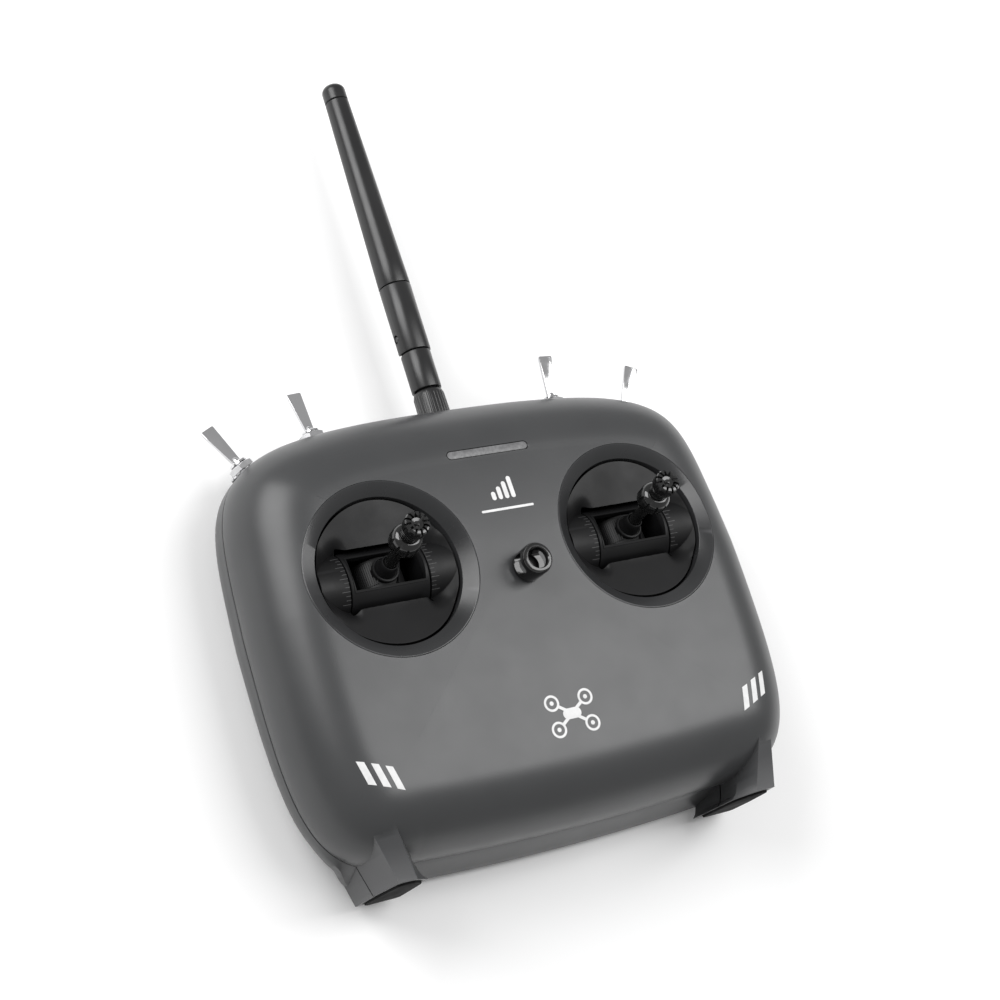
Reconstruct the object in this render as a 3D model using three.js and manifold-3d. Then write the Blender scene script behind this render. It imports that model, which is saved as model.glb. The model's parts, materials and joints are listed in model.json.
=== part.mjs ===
// A two-stick radio transmitter: a pillow-shaped hand-held case on two feet, two gimbals, four toggle
// switches and a folding antenna. Millimetres. The case lies on its back: +X right, +Y towards the
// antenna, +Z out of the front face, with the origin on the flat back, level with the stick centres.
import * as THREE from "three";
import { ConvexGeometry } from "three/addons/geometries/ConvexGeometry.js";
import { mergeVertices } from "three/addons/utils/BufferGeometryUtils.js";
import Module from "manifold-3d";

const wasm = await Module();
wasm.setup();

// ---- Driving dimensions ----
const caseHalfWidth = 87.5; // at the widest level
const caseTop = 55; // from the stick line up to the top wall
const caseBottom = 86.5; // from the stick line down to the bottom wall
const widestBelow = 8; // the case is widest this far below the stick line
const seamHeight = 21; // the parting plane of the two shells
const shoulderHeight = 45; // where the rounded shoulder meets the face
const faceCrown = 1.15; // how far the face domes above the shoulder
const shoulderRadius = 20.5; // rounding of the front shell at the sides
const topShoulderRadius = 24; // and at the top
const backRadius = 15.5; // rounding of the rear shell at the sides
const lowerBackRadius = 18.5; // and lower down
const backBottomRadius = 5; // and between the feet
const bottomFlare = 3.2; // the rear shell stands this much lower between the feet
const wall = 2.2;
const seamGap = 0.3;
const fit = 0.3; // clearance between pieces that touch
const running = 0.3; // radial clearance of a turning piece

const footDrop = 5.1; // the soles stand this far below the bottom wall
const footFromSide = 26.5; // from the widest side in to the middle of a foot
const footRootRise = 10.5; // the feet merge into the case this far above the bottom wall
const padThickness = 1.6;
const padRecess = 1.2;

const stickSpacing = 88.5;
const bezelSink = 2; // the bezels' inner edge lies this far below the shoulder
const bezelRadius = 28.5;
const bezelInner = 24;
const bezelDepth = 6;
const pivotDepth = 12; // stick pivots below the gimbal plane
const drumRadius = 11;
const drumHalfLength = 13.3;
const drumWall = 1.8;
const windowHalfLength = 11.6;
const windowHalfWidth = 5.3;
const rockerGap = 0.6; // between the rocker and the inside of the drum
const axleRadius = 2.2;
const axleReach = 2.4; // how far the rocker's axle runs into its bearers
const axleRoom = 1.3; // and the bore beyond the axle's end
const housingGap = 0.5; // between the housing and the bezel
const drumRoom = 2; // between the drum and the cover plates over it
const plateDrop = 2.7; // the plates slope down towards the drum by this much
const housingFloor = 9;
const cheekHalfLength = 21.5;
const shaftRadius = 2;
const collarRadius = 5;
const collarFrom = 13;
const collarHeight = 7;
const tipRadius = 4;
const stickTop = 28; // above the gimbal plane
const stickLean = 7.5; // degrees towards the antenna, as both sticks are left

const topAxisDrop = 3; // the switches and the antenna lie this far below the seam
const innerSwitchX = 44.8;
const outerSwitchX = 70.4;
const innerSwitchTilt = 4; // degrees outwards from straight up
const outerSwitchTilt = 25;
const bushingRadius = 3;
const bushingLength = 4.6;
const washerRadius = 5.2;
const washerThickness = 0.6;
const nutAcrossFlats = 8;
const nutThickness = 2;
const switchBody = { wide: 7.5, tall: 9.5, deep: 12.5 };
const leverLength = 15;
const leverTipWidth = 5;
const leverRootWidth = 2.8;
const leverThickness = 1.3;
const leverThrow = 9.5; // degrees each way between the two stops

const connectorRadius = 3.1;
const couplingRise = 0.5; // the antenna's ribbed coupling nut starts this far above the top wall
const couplingLength = 9.8;
const couplingRadius = 5.4;
const lowerBarrelLength = 13.9;
const lowerBarrelRadius = 5.1;
const upperBarrelLength = 24.6;
const upperBarrelRadius = 5.45;
const mastLength = 71.7;
const tipCapLength = 7;
const tipCapRadius = 4.1;
const knuckleRise = 5.9; // hinge pin above the joint line, more than the mast's radius, so it folds flat
const tongueHalf = 2;
const tongueRadius = 3.6;
const hingePinRadius = 1.2;

const cellRadius = 9.2;
const cellLength = 65.2;
const cellGap = 0.8;
const cellRoom = 2.2; // free width of the bay beyond the cells, each way
const contactRoom = 3.4; // and at each end of them
const bayRise = 9.5; // from the bottom wall up to the bay
const bayWall = 1.6;
const doorThickness = 1.9;
const doorInset = 0.25; // the door lies this far inside the back plane
const boardGap = 4.4; // between the bay and the main board
const boardThickness = 1.6;
const screwHeadRadius = 2.8;
const screwRadius = 1.4;
const bossRadius = 3.6;

const ledHalfLength = 14.7;
const ledHalfWidth = 1.5;
const ledBelowTop = 22.2;
const loopY = -7.5;
const loopRadius = 5.2;
const loopRise = 8.4;
const loopBore = 3.4;
const loopSlotHalf = 3.3; // the slot runs through from side to side, between two posts
const loopSlotRise = 4.8;
const loopLeg = 0.6;

const buttonRadius = 5;
const buttonBelowTop = 29;
const usbX = 23;
const usbHalfWidth = 4.5;
const usbHalfHeight = 1.65;
const usbBelowAxis = 4;

const round = { fine: 36, medium: 20, small: 12 }; // segments

// ---- Places that follow from the sizes above ----
const gimbalPlane = shoulderHeight - bezelSink;
const gimbalX = [-stickSpacing / 2, stickSpacing / 2];
const rockerRadius = drumRadius - drumWall - rockerGap;
const rockerAxleHalf = windowHalfWidth + axleReach;
const housingRadius = bezelInner - housingGap;
const topAxis = seamHeight - topAxisDrop;
const footSole = caseBottom + footDrop;
const footX = caseHalfWidth - footFromSide;
const footRootY = footRootRise - caseBottom;
const bayFrom = bayRise - caseBottom;
const bayTo = bayFrom + 4 * cellRadius + cellGap + 2 * cellRoom;
const bayHalfWidth = cellLength / 2 + contactRoom;
const cellAxisHeight = doorInset + doorThickness + fit + cellRadius;
const bayDepth = cellAxisHeight + cellRadius + cellRoom;
const boardHeight = bayDepth + bayWall + boardGap;
const ledY = caseTop - ledBelowTop;
const buttonY = caseTop - buttonBelowTop;
const usbHeight = topAxis - usbBelowAxis;
const couplingFrom = caseTop + couplingRise;
const couplingTo = couplingFrom + couplingLength;
const lowerBarrelTo = couplingTo + lowerBarrelLength;
const upperBarrelTo = lowerBarrelTo + upperBarrelLength;
const mastTop = upperBarrelTo + mastLength;
const antennaTop = mastTop + tipCapLength;
const loopLegFromAxis = (loopRadius + loopBore) / 2;

// ---- Materials ----
const finish = (color, roughness, metalness = 0) =>
  new THREE.MeshStandardMaterial({ color, roughness, metalness });
const caseGrey = () => finish(0x5f6062, 0.55);
const bezelGrey = () => finish(0x424345, 0.5);
const mattBlack = () => finish(0x1c1d1f, 0.6);
const glossBlack = () => finish(0x101113, 0.25);
const rubberBlack = () => finish(0x161616, 0.9);
const chrome = () => finish(0xd8d9db, 0.18, 1);
const boardGreen = () => finish(0x1f5a36, 0.5);
const cellBlue = () => finish(0x2c5f8f, 0.4);

// ---- Solids ----
function solid(geometry, matrix = new THREE.Matrix4()) {
  const bare = geometry.clone().applyMatrix4(matrix);
  bare.deleteAttribute("normal");
  bare.deleteAttribute("uv");
  const merged = mergeVertices(bare, 1e-4);
  return new wasm.Manifold(
    new wasm.Mesh({
      numProp: 3,
      vertProperties: merged.attributes.position.array,
      triVerts: new Uint32Array(merged.index.array),
    }),
  );
}

function geometryOf(body) {
  const { numProp, numVert, vertProperties, triVerts } = body.getMesh();
  const positions = new Float32Array(numVert * 3);
  for (let i = 0; i < numVert; i++) {
    positions.set(vertProperties.subarray(i * numProp, i * numProp + 3), i * 3);
  }
  const geometry = new THREE.BufferGeometry();
  geometry.setAttribute("position", new THREE.BufferAttribute(positions, 3));
  geometry.setIndex(new THREE.BufferAttribute(triVerts, 1));
  return geometry;
}

const part = new THREE.Group();
function piece(name, body, material, parent = part) {
  const mesh = new THREE.Mesh(geometryOf(body), material);
  mesh.name = name;
  parent.add(mesh);
}

const place = (x, y, z) => new THREE.Matrix4().makeTranslation(x, y, z);
const radians = THREE.MathUtils.degToRad;

function box([x0, x1], [y0, y1], [z0, z1]) {
  const geometry = new THREE.BoxGeometry(x1 - x0, y1 - y0, z1 - z0);
  return solid(geometry, place((x0 + x1) / 2, (y0 + y1) / 2, (z0 + z1) / 2));
}

// A profile of [radius, height] points turned about a line through centre along axis "x", "y" or "z".
function turned(profile, segments, axis = "z", centre = [0, 0, 0]) {
  const geometry = new THREE.LatheGeometry(
    profile.map(([radius, height]) => new THREE.Vector2(radius, height)),
    segments,
  );
  const turn = new THREE.Matrix4();
  if (axis === "z") turn.makeRotationX(Math.PI / 2);
  if (axis === "x") turn.makeRotationZ(-Math.PI / 2);
  return solid(geometry, place(...centre).multiply(turn));
}

function rod(radius, from, to, segments, axis = "z", centre = [0, 0, 0]) {
  return turned([[0, from], [radius, from], [radius, to], [0, to]], segments, axis, centre);
}

function hull(points) {
  return solid(new ConvexGeometry(points.map((p) => new THREE.Vector3(...p))));
}

// ---- The case's outline in plan ----
const smooth = (from, to, value) => THREE.MathUtils.smoothstep((value - from) / (to - from), 0, 1);

function halfOutline() {
  const point = (x, y) => new THREE.Vector2(x, y);
  const widest = point(caseHalfWidth, -widestBelow);
  const corner = point(caseHalfWidth * 0.64, -caseBottom + 1.7);
  const curves = [
    [new THREE.CubicBezierCurve(point(0, caseTop), point(caseHalfWidth * 1.01, caseTop),
      point(caseHalfWidth * 0.968, caseTop * 0.82), widest), 10],
    [new THREE.CubicBezierCurve(widest, point(caseHalfWidth + 0.5, -caseBottom * 0.67),
      point(caseHalfWidth + 1.5, -caseBottom + 0.5), corner), 10],
    [new THREE.QuadraticBezierCurve(corner, point(caseHalfWidth * 0.32, -caseBottom),
      point(0, -caseBottom)), 3],
  ];
  return curves.flatMap(([curve, steps], i) => curve.getPoints(steps).slice(i ? 1 : 0));
}

// The whole outline, counter-clockwise from the middle of the bottom, with each point's inward normal.
const outline = (() => {
  const right = halfOutline().reverse();
  const left = right.slice(1, -1).reverse().map((p) => new THREE.Vector2(-p.x, p.y));
  const ring = [...right, ...left];
  return ring.map((p, i) => {
    const next = ring[(i + 1) % ring.length];
    const before = ring[(i + ring.length - 1) % ring.length];
    const along = next.clone().sub(before).normalize();
    return { p, inward: new THREE.Vector2(-along.y, along.x) };
  });
})();

const frontRadius = (y) =>
  shoulderRadius + (topShoulderRadius - shoulderRadius) * smooth(-20, caseTop - 16, y);
const rearRadius = (y) => {
  const side = backRadius + (lowerBackRadius - backRadius) * smooth(0, 16 - caseBottom, y);
  return side + (backBottomRadius - side) * smooth(8 - caseBottom, 2.2 - caseBottom, y);
};

// A closed body whose rows are the outline moved inwards by "inset" at "height", capped at both ends.
function pillow(rows, capTo) {
  const count = outline.length;
  const geometry = new THREE.LatheGeometry(
    rows.concat(0, 0).map((_, i) => new THREE.Vector2(i && i < rows.length + 1 ? 1 : 0, i)),
    count,
  );
  const position = geometry.attributes.position;
  for (let i = 0; i <= count; i++) {
    const { p, inward } = outline[i % count];
    for (let j = 0; j < rows.length + 2; j++) {
      const index = i * (rows.length + 2) + j;
      const row = rows[THREE.MathUtils.clamp(j - 1, 0, rows.length - 1)];
      const { inset, height, drop = 0, scale = 1 } = row(p.y);
      const spot = p.clone().addScaledVector(inward, inset).multiplyScalar(scale);
      spot.y -= drop * smooth(16 - caseBottom, 2.5 - caseBottom, p.y);
      if (j === 0 || j === rows.length + 1) spot.set(0, 0);
      position.setXYZ(index, spot.x, spot.y, j === rows.length + 1 ? capTo : height);
    }
  }
  return solid(geometry);
}

const quarter = (steps) => Array.from({ length: steps }, (_, i) => ((i + 1) / steps) * (Math.PI / 2));

function frontPillow(inset, from, steps = 4) {
  const radius = (y) => frontRadius(y) - inset;
  const centre = (y) => shoulderHeight - frontRadius(y);
  return pillow([
    () => ({ inset, height: from }),
    (y) => ({ inset, height: Math.max(centre(y), from + 0.2) }),
    ...quarter(steps).map((angle) => (y) => ({
      inset: inset + radius(y) * (1 - Math.cos(angle)),
      height: Math.max(centre(y), from + 0.2) + (shoulderHeight - inset
        - Math.max(centre(y), from + 0.2)) * Math.sin(angle),
    })),
    (y) => ({
      inset: inset + radius(y),
      height: shoulderHeight - inset + faceCrown * 0.7,
      scale: 0.55,
    }),
  ], shoulderHeight - inset + faceCrown);
}

function rearPillow(inset, to, steps = 4) {
  const radius = (y) => Math.max(rearRadius(y) - inset, 1);
  return pillow([
    ...quarter(steps).reverse().map((angle) => (y) => ({
      inset: inset + radius(y) * (1 - Math.cos(angle)),
      height: inset + radius(y) * (1 - Math.sin(angle)),
      drop: bottomFlare,
    })),
    (y) => ({ inset, height: inset + radius(y), drop: bottomFlare }),
    () => ({ inset, height: to }),
  ], to);
}

// ---- Feet: prisms that taper from the case's lower corners to flat soles ----
// Each section holds [outwards from the foot's middle, height] corners.
const footSections = {
  sole: [[6.4, 37], [8.6, 21], [8.6, 5.5], [-7, 5.5], [-6, 30], [0, 36]],
  root: [[10.8, 40], [13, 21], [13.5, 8], [-16, 6], [-15, 33], [-3, 40]],
};
const footMiddleHeight = 22;
function footBody(side, inset = 0, sole = -footSole) {
  const shrinkX = 1 - inset / 9;
  const shrinkZ = 1 - inset / 16;
  const toPoint = (y) => ([x, z]) => [
    side * (footX + x * shrinkX), y, footMiddleHeight + (z - footMiddleHeight) * shrinkZ,
  ];
  return hull([
    ...footSections.sole.map(toPoint(sole)),
    ...footSections.root.map(toPoint(footRootY + inset)),
  ]);
}

const padMiddle = { out: 1, height: 21 };
function padBody(side, grow, from, to) {
  const corners = footSections.sole.map(([x, z]) => [
    side * (footX + padMiddle.out + (x - padMiddle.out) * (0.72 + grow / 7)),
    padMiddle.height + (z - padMiddle.height) * (0.82 + grow / 14),
  ]);
  return hull([from, to].flatMap((y) => corners.map(([x, z]) => [x, y, z])));
}

// ---- Switch places; stop is the side that the lever is left on: 1 to the front, -1 to the back ----
const switchPlaces = [
  { name: "left_outer", x: -outerSwitchX, tilt: outerSwitchTilt, stop: -1 },
  { name: "left_inner", x: -innerSwitchX, tilt: innerSwitchTilt, stop: -1 },
  { name: "right_inner", x: innerSwitchX, tilt: -innerSwitchTilt, stop: 1 },
  { name: "right_outer", x: outerSwitchX, tilt: -outerSwitchTilt, stop: 1 },
];

// Height of the top wall above the stick line at a given x.
function topWallAt(x) {
  const upper = outline.filter(({ p }) => p.y > 0 && p.x >= 0).sort((a, b) => a.p.x - b.p.x);
  const next = upper.findIndex(({ p }) => p.x >= Math.abs(x));
  const a = upper[next - 1].p;
  const b = upper[next].p;
  return a.y + ((b.y - a.y) * (Math.abs(x) - a.x)) / (b.x - a.x);
}

// The switch's own frame: its axis is local +Y, and y = 0 is the spot face that its washer sits on.
const spotFaceSink = 0.5;
for (const spot of switchPlaces) {
  spot.seat = new THREE.Matrix4()
    .makeTranslation(spot.x, topWallAt(spot.x) - spotFaceSink, topAxis)
    .multiply(new THREE.Matrix4().makeRotationZ(radians(spot.tilt)));
}
const moved = (body, matrix) => solid(geometryOf(body), matrix);

// Each switch needs a hole for its bushing, a flat for its washer and a pocket inside for its case.
const caseHalfWide = switchBody.wide / 2 + fit;
const caseHalfDeep = switchBody.deep / 2 + fit;
const holesForSwitches = switchPlaces.flatMap(({ seat }) => [
  moved(rod(bushingRadius + fit, -14, 12, round.small, "y"), seat),
  moved(rod(washerRadius + 0.9, 0, 8, round.medium, "y"), seat),
  moved(box([-caseHalfWide, caseHalfWide], [-wall - switchBody.tall, -wall],
    [-caseHalfDeep, caseHalfDeep]), seat),
]);
const connectorFlange = 4;
const holesForConnector = [
  rod(connectorRadius + fit, caseTop - 14, caseTop + 9, round.small, "y", [0, 0, topAxis]),
  rod(connectorFlange + 2 * fit, caseTop - 14, caseTop - wall, round.small, "y", [0, 0, topAxis]),
];

// ---- Screws through the rear shell into the front shell ----
const screwFromSide = 11;
const lowerScrewX = footX - 4;
const screwPlaces = [1, -1].flatMap((side) => [
  [side * (caseHalfWidth - screwFromSide), -housingRadius - 13],
  [side * lowerScrewX, 20.5 - caseBottom],
  [side * 24, caseTop - 15],
]);
const screwHeadAt = 6;
const bossSplit = seamHeight + 3;

function cut(body, tools) {
  return tools.reduce((left, tool) => left.subtract(tool), body);
}
function join(body, others) {
  return others.reduce((sum, other) => sum.add(other), body);
}

const far = 300;
const above = (height) => box([-far, far], [-far, far], [height, far]);
const below = (height) => box([-far, far], [-far, far], [-far, height]);

const outerFront = frontPillow(0, seamHeight - 1);
const outerRear = rearPillow(0, seamHeight + 1);
const innerFront = frontPillow(wall, seamHeight - 1, 3);
const innerRear = rearPillow(wall, seamHeight + 1, 3);
const footPockets = [-1, 1].map((side) => footBody(side, wall, -footSole + wall + padRecess));
const feet = [-1, 1].map((side) => footBody(side));
const padRecesses = [-1, 1].map((side) =>
  padBody(side, fit, -footSole - 1, -footSole + padRecess));
function frontShell() {
  let shell = join(outerFront, feet.map((foot) => foot.intersect(above(seamHeight - 1))));
  shell = cut(shell, [innerFront, ...footPockets, ...padRecesses, ...holesForSwitches]);
  const bosses = screwPlaces.map(([x, y]) =>
    rod(bossRadius, bossSplit, shoulderHeight, round.small, "z", [x, y, 0])
      .intersect(outerFront));
  shell = join(shell, bosses);
  shell = cut(shell, screwPlaces.map(([x, y]) =>
    rod(screwRadius + fit, bossSplit - 1, bossSplit + 9, round.small, "z", [x, y, 0])));
  shell = cut(shell, gimbalX.map((x) =>
    rod(bezelRadius + fit, seamHeight, far, round.fine, "z", [x, 0, 0])));
  const ledSlot = box([-ledHalfLength, ledHalfLength],
    [ledY - ledHalfWidth, ledY + ledHalfWidth], [30, far]);
  const ledEnds = [-1, 1].map((side) =>
    rod(ledHalfWidth, 30, far, round.small, "z", [side * ledHalfLength, ledY, 0]));
  const loopHoles = [-1, 1].map((side) => rod(loopLeg + fit, 30, far, round.small, "z",
    [0, loopY + side * loopLegFromAxis, 0]));
  shell = cut(shell, [ledSlot, ...ledEnds, ...loopHoles, ...holesForConnector]);
  return shell.intersect(above(seamHeight + seamGap / 2));
}

const doorHalfWidth = bayHalfWidth + 1;
const doorTo = bayTo + 2;
const usbWallY = topWallAt(usbX);

function rearShell() {
  let shell = join(outerRear, feet.map((foot) => foot.intersect(below(seamHeight + 1))));
  shell = cut(shell, [innerRear, ...footPockets, ...padRecesses, ...holesForSwitches]);
  const bayOuter = box([-bayHalfWidth - bayWall, bayHalfWidth + bayWall],
    [bayFrom - bayWall, bayTo + bayWall], [wall / 2, bayDepth + bayWall]);
  const bosses = screwPlaces.map(([x, y]) =>
    rod(bossRadius, 0, bossSplit - fit, round.small, "z", [x, y, 0])
      .intersect(rearPillow(0, bossSplit)));
  shell = shell.intersect(below(seamHeight - seamGap / 2));
  shell = join(shell, [bayOuter, ...bosses]);
  const bay = box([-bayHalfWidth, bayHalfWidth], [bayFrom, bayTo], [-1, bayDepth]);
  const doorChannel = box([-doorHalfWidth - fit, doorHalfWidth + fit],
    [-far, doorTo + fit], [-1, doorInset + doorThickness + fit]);
  const screwHoles = screwPlaces.flatMap(([x, y]) => [
    rod(screwHeadRadius + fit, -1, screwHeadAt + fit, round.small, "z", [x, y, 0]),
    rod(screwRadius + fit, 0, far, round.small, "z", [x, y, 0]),
  ]);
  const usbHole = box([usbX - usbHalfWidth - fit, usbX + usbHalfWidth + fit], [usbWallY - 6, far],
    [usbHeight - usbHalfHeight - fit, usbHeight + usbHalfHeight + fit]);
  const buttonHole = rod(buttonRadius + fit, -1, 5, round.medium, "z", [0, buttonY, 0]);
  return cut(shell, [bay, doorChannel, ...screwHoles, ...holesForConnector, usbHole, buttonHole]);
}

piece("front_shell", frontShell(), caseGrey());
piece("rear_shell", rearShell(), caseGrey());

// The door slides out over the bottom edge, so its lower end follows the rear shell's rounding.
piece("battery_door",
  box([-doorHalfWidth, doorHalfWidth], [-far, doorTo], [doorInset, doorInset + doorThickness])
    .intersect(outerRear),
  caseGrey());

for (const [side, name] of [[-1, "left"], [1, "right"]]) {
  piece(name + "_foot_pad",
    padBody(side, 0, -footSole + padRecess - fit - padThickness, -footSole + padRecess - fit),
    rubberBlack());
}

for (const [i, [x, y]] of screwPlaces.entries()) {
  const screw = join(rod(screwHeadRadius, screwHeadAt - 2, screwHeadAt, round.small), [
    rod(screwRadius, screwHeadAt - 1, bossSplit + 8, round.small),
  ]);
  piece("shell_screw_" + (i + 1), moved(screw, place(x, y, 0)), chrome());
}

// ---- Light bar, lanyard loop, boards and battery ----
function ledLightBar() {
  const recess = 1;
  const top = shoulderHeight + faceCrown * 0.7 - recess;
  const half = ledHalfWidth - fit;
  const bar = join(box([-ledHalfLength, ledHalfLength], [ledY - half, ledY + half], [38, top]),
    [-1, 1].map((side) => rod(half, 38, top, round.small, "z", [side * ledHalfLength, ledY, 0])));
  const flange = box([-ledHalfLength - 3, ledHalfLength + 3], [ledY - 3, ledY + 3], [38, 40]);
  return bar.add(flange);
}
piece("led_light_bar", ledLightBar(), finish(0x8a8b8e, 0.3));

function lanyardLoop() {
  const base = shoulderHeight + faceCrown + 0.1 + fit;
  const top = base + loopRise;
  const tube = turned([[loopBore, base], [loopRadius - 0.4, base], [loopRadius, base + 0.5],
    [loopRadius, top - 1], [loopRadius - 1, top], [loopBore + 0.5, top], [loopBore, top - 0.5],
    [loopBore, base]], round.medium);
  const slot = box([-loopRadius - 1, loopRadius + 1], [-loopSlotHalf, loopSlotHalf],
    [base + 1.4, base + 1.4 + loopSlotRise]);
  const legs = [-1, 1].map((side) => rod(loopLeg, base - 8, base + 1, round.small, "z",
    [0, side * loopLegFromAxis, 0]));
  return cut(tube, [slot]).add(legs[0]).add(legs[1]);
}
piece("lanyard_loop", moved(lanyardLoop(), place(0, loopY, 0)), glossBlack());

const neckHalf = stickSpacing / 2 - housingRadius - 4.7; // the board narrows between the gimbals
const boardHalf = lowerScrewX - bossRadius - 3.4;
const boardSpan = [12.5 - caseBottom, -housingRadius - 8];
const boardTop = boardHeight + boardThickness;
piece("main_board", join(
  box([-neckHalf, neckHalf], [boardSpan[1] - 1, caseTop - 16], [boardHeight, boardTop]),
  [box([-boardHalf, boardHalf], boardSpan, [boardHeight, boardTop])],
), boardGreen());
piece("rf_module",
  box([5.5 - neckHalf, neckHalf - 5.5], [buttonY - 18, buttonY + 1], [boardTop + fit, boardTop + 4]),
  chrome());
piece("buzzer",
  rod(6, boardTop + fit, boardTop + 6, round.medium, "z", [30, boardSpan[0] + 22, 0]),
  mattBlack());

const bayMiddle = (bayFrom + bayTo) / 2;
for (const [name, shift] of [["battery_cell_upper", 1], ["battery_cell_lower", -1]]) {
  const centre = [0, bayMiddle + shift * (cellRadius + cellGap / 2), cellAxisHeight];
  piece(name, rod(cellRadius, -cellLength / 2, cellLength / 2, round.medium, "x", centre), cellBlue());
}
for (const [name, side] of [["left", -1], ["right", 1]]) {
  const from = cellLength / 2 + fit;
  const to = bayHalfWidth - fit;
  const xs = side > 0 ? [from + 1, to] : [-to, -from - 1];
  const nub = side > 0 ? [from, from + 1.5] : [-from - 1.5, -from];
  const plate = box(xs, [bayFrom + 2, bayTo - 2], [cellAxisHeight - 6.5, cellAxisHeight + 6.5]);
  const nubs = [-1, 1].map((shift) => {
    const y = bayMiddle + shift * (cellRadius + cellGap / 2);
    return box(nub, [y - 2, y + 2], [cellAxisHeight - 2, cellAxisHeight + 2]);
  });
  piece("battery_contact_" + name, join(plate, nubs), chrome());
}

function powerButton() {
  const flange = rod(buttonRadius + 1.6, wall + fit, wall + fit + 1, round.medium);
  return rod(buttonRadius, 0.5, wall + fit + 0.6, round.medium).add(flange);
}
piece("power_button", moved(powerButton(), place(0, buttonY, 0)), mattBlack());

function usbPort() {
  const depth = { can: 8, mouth: 6.5, tongue: 7, recess: 0.6 };
  const skin = 0.4;
  const can = box([-usbHalfWidth, usbHalfWidth], [usbWallY - depth.can, usbWallY - depth.recess],
    [usbHeight - usbHalfHeight, usbHeight + usbHalfHeight]);
  const mouth = box([skin - usbHalfWidth, usbHalfWidth - skin], [usbWallY - depth.mouth, usbWallY],
    [usbHeight - usbHalfHeight + skin, usbHeight + usbHalfHeight - skin]);
  const tongue = box([1.4 - usbHalfWidth, usbHalfWidth - 1.4],
    [usbWallY - depth.tongue, usbWallY - 1.6], [usbHeight - 0.35, usbHeight + 0.35]);
  return can.subtract(mouth).add(tongue);
}
piece("usb_port", moved(usbPort(), place(usbX, 0, 0)), chrome());

// ---- Gimbals: a fixed housing, a drum that tips about X, and a rocker with the stick about Y ----
const pivotZ = -pivotDepth;

function housing() {
  const rim = [housingRadius - 0.4, -0.6];
  const bowl = [[0, housingFloor - gimbalPlane], [housingRadius - 3, housingFloor - gimbalPlane],
    [housingRadius, housingFloor - gimbalPlane + 3], [housingRadius, -1], rim,
    [drumRadius - 1.5, rim[1] - plateDrop], [0, rim[1] - plateDrop]];
  const throatRadius = drumRadius + drumRoom;
  const throat = rod(throatRadius, -far, far, round.medium, "x", [0, 0, pivotZ])
    .intersect(rod(housingRadius - 0.8, pivotZ, far, round.medium));
  const cheeks = rod(drumRadius, -cheekHalfLength, cheekHalfLength, round.medium, "x", [0, 0, pivotZ]);
  const room = rod(throatRadius, -drumHalfLength - fit, drumHalfLength + fit, round.medium, "x",
    [0, 0, pivotZ]);
  const axleBore = rod(axleRadius + running, -drumHalfLength - 5, drumHalfLength + 5, round.small, "x",
    [0, 0, pivotZ]);
  return turned(bowl, round.fine).subtract(throat).add(cheeks).subtract(room).subtract(axleBore);
}

function drum() {
  const half = drumHalfLength;
  const body = rod(drumRadius, -half, half, round.fine, "x", [0, 0, pivotZ]);
  const hollow = rod(drumRadius - drumWall, -half + 1.5, half - 1.5, round.medium, "x", [0, 0, pivotZ]);
  const underside = box([-half - 1, half + 1], [-drumRadius - 1, drumRadius + 1],
    [pivotZ - drumRadius - 1, pivotZ - 3]);
  const window = box([-windowHalfLength, windowHalfLength], [-windowHalfWidth, windowHalfWidth],
    [pivotZ, 2]);
  const axles = rod(axleRadius, -half - 4, half + 4, round.small, "x", [0, 0, pivotZ])
    .subtract(box([-half + 1, half - 1], [-5, 5], [pivotZ - 5, pivotZ + 5]));
  const crossHalf = rockerAxleHalf + axleRoom;
  const crossBore = rod(axleRadius + running, -crossHalf, crossHalf, round.small, "y", [0, 0, pivotZ]);
  const bearers = box([-4.5, 4.5], [windowHalfWidth + 0.6, drumRadius - drumWall + 0.4],
    [pivotZ - 3, pivotZ + 3]);
  const otherBearers = box([-4.5, 4.5], [-drumRadius + drumWall - 0.4, -windowHalfWidth - 0.6],
    [pivotZ - 3, pivotZ + 3]);
  return body.subtract(hollow).subtract(underside).subtract(window).add(axles)
    .add(bearers).add(otherBearers).subtract(crossBore);
}

function rocker() {
  const half = windowHalfWidth - fit;
  const barrel = rod(rockerRadius, -half, half, round.medium, "y", [0, 0, pivotZ])
    .intersect(box([-far, far], [-far, far], [pivotZ - 3.5, far]));
  const axle = rod(axleRadius, -rockerAxleHalf, rockerAxleHalf, round.small, "y", [0, 0, pivotZ]);
  const socket = turned([[0, pivotZ], [4.2, pivotZ], [4.2, pivotZ + rockerRadius + 1.2],
    [3.2, pivotZ + rockerRadius + 2.4], [0, pivotZ + rockerRadius + 2.4]], round.small);
  const shaftHole = rod(shaftRadius + fit, pivotZ + 4, far, round.small);
  return barrel.add(axle).add(socket).subtract(shaftHole);
}

function stickShaft() {
  return rod(shaftRadius, pivotZ + 4 + fit, stickTop - 3, round.small);
}

function stickCollar() {
  const r = collarRadius;
  const profile = [[shaftRadius + fit, collarFrom], [r - 1.4, collarFrom], [r, collarFrom + 1.6],
    [r, collarFrom + collarHeight - 1.4], [r - 1.2, collarFrom + collarHeight],
    [shaftRadius + fit, collarFrom + collarHeight], [shaftRadius + fit, collarFrom]];
  const grooves = Array.from({ length: 6 }, (_, i) => {
    const angle = (i / 6) * Math.PI * 2;
    return rod(0.9, collarFrom - 1, collarFrom + collarHeight + 1, 6, "z",
      [Math.cos(angle) * (r + 0.2), Math.sin(angle) * (r + 0.2), 0]);
  });
  return cut(turned(profile, 18), grooves);
}

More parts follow.
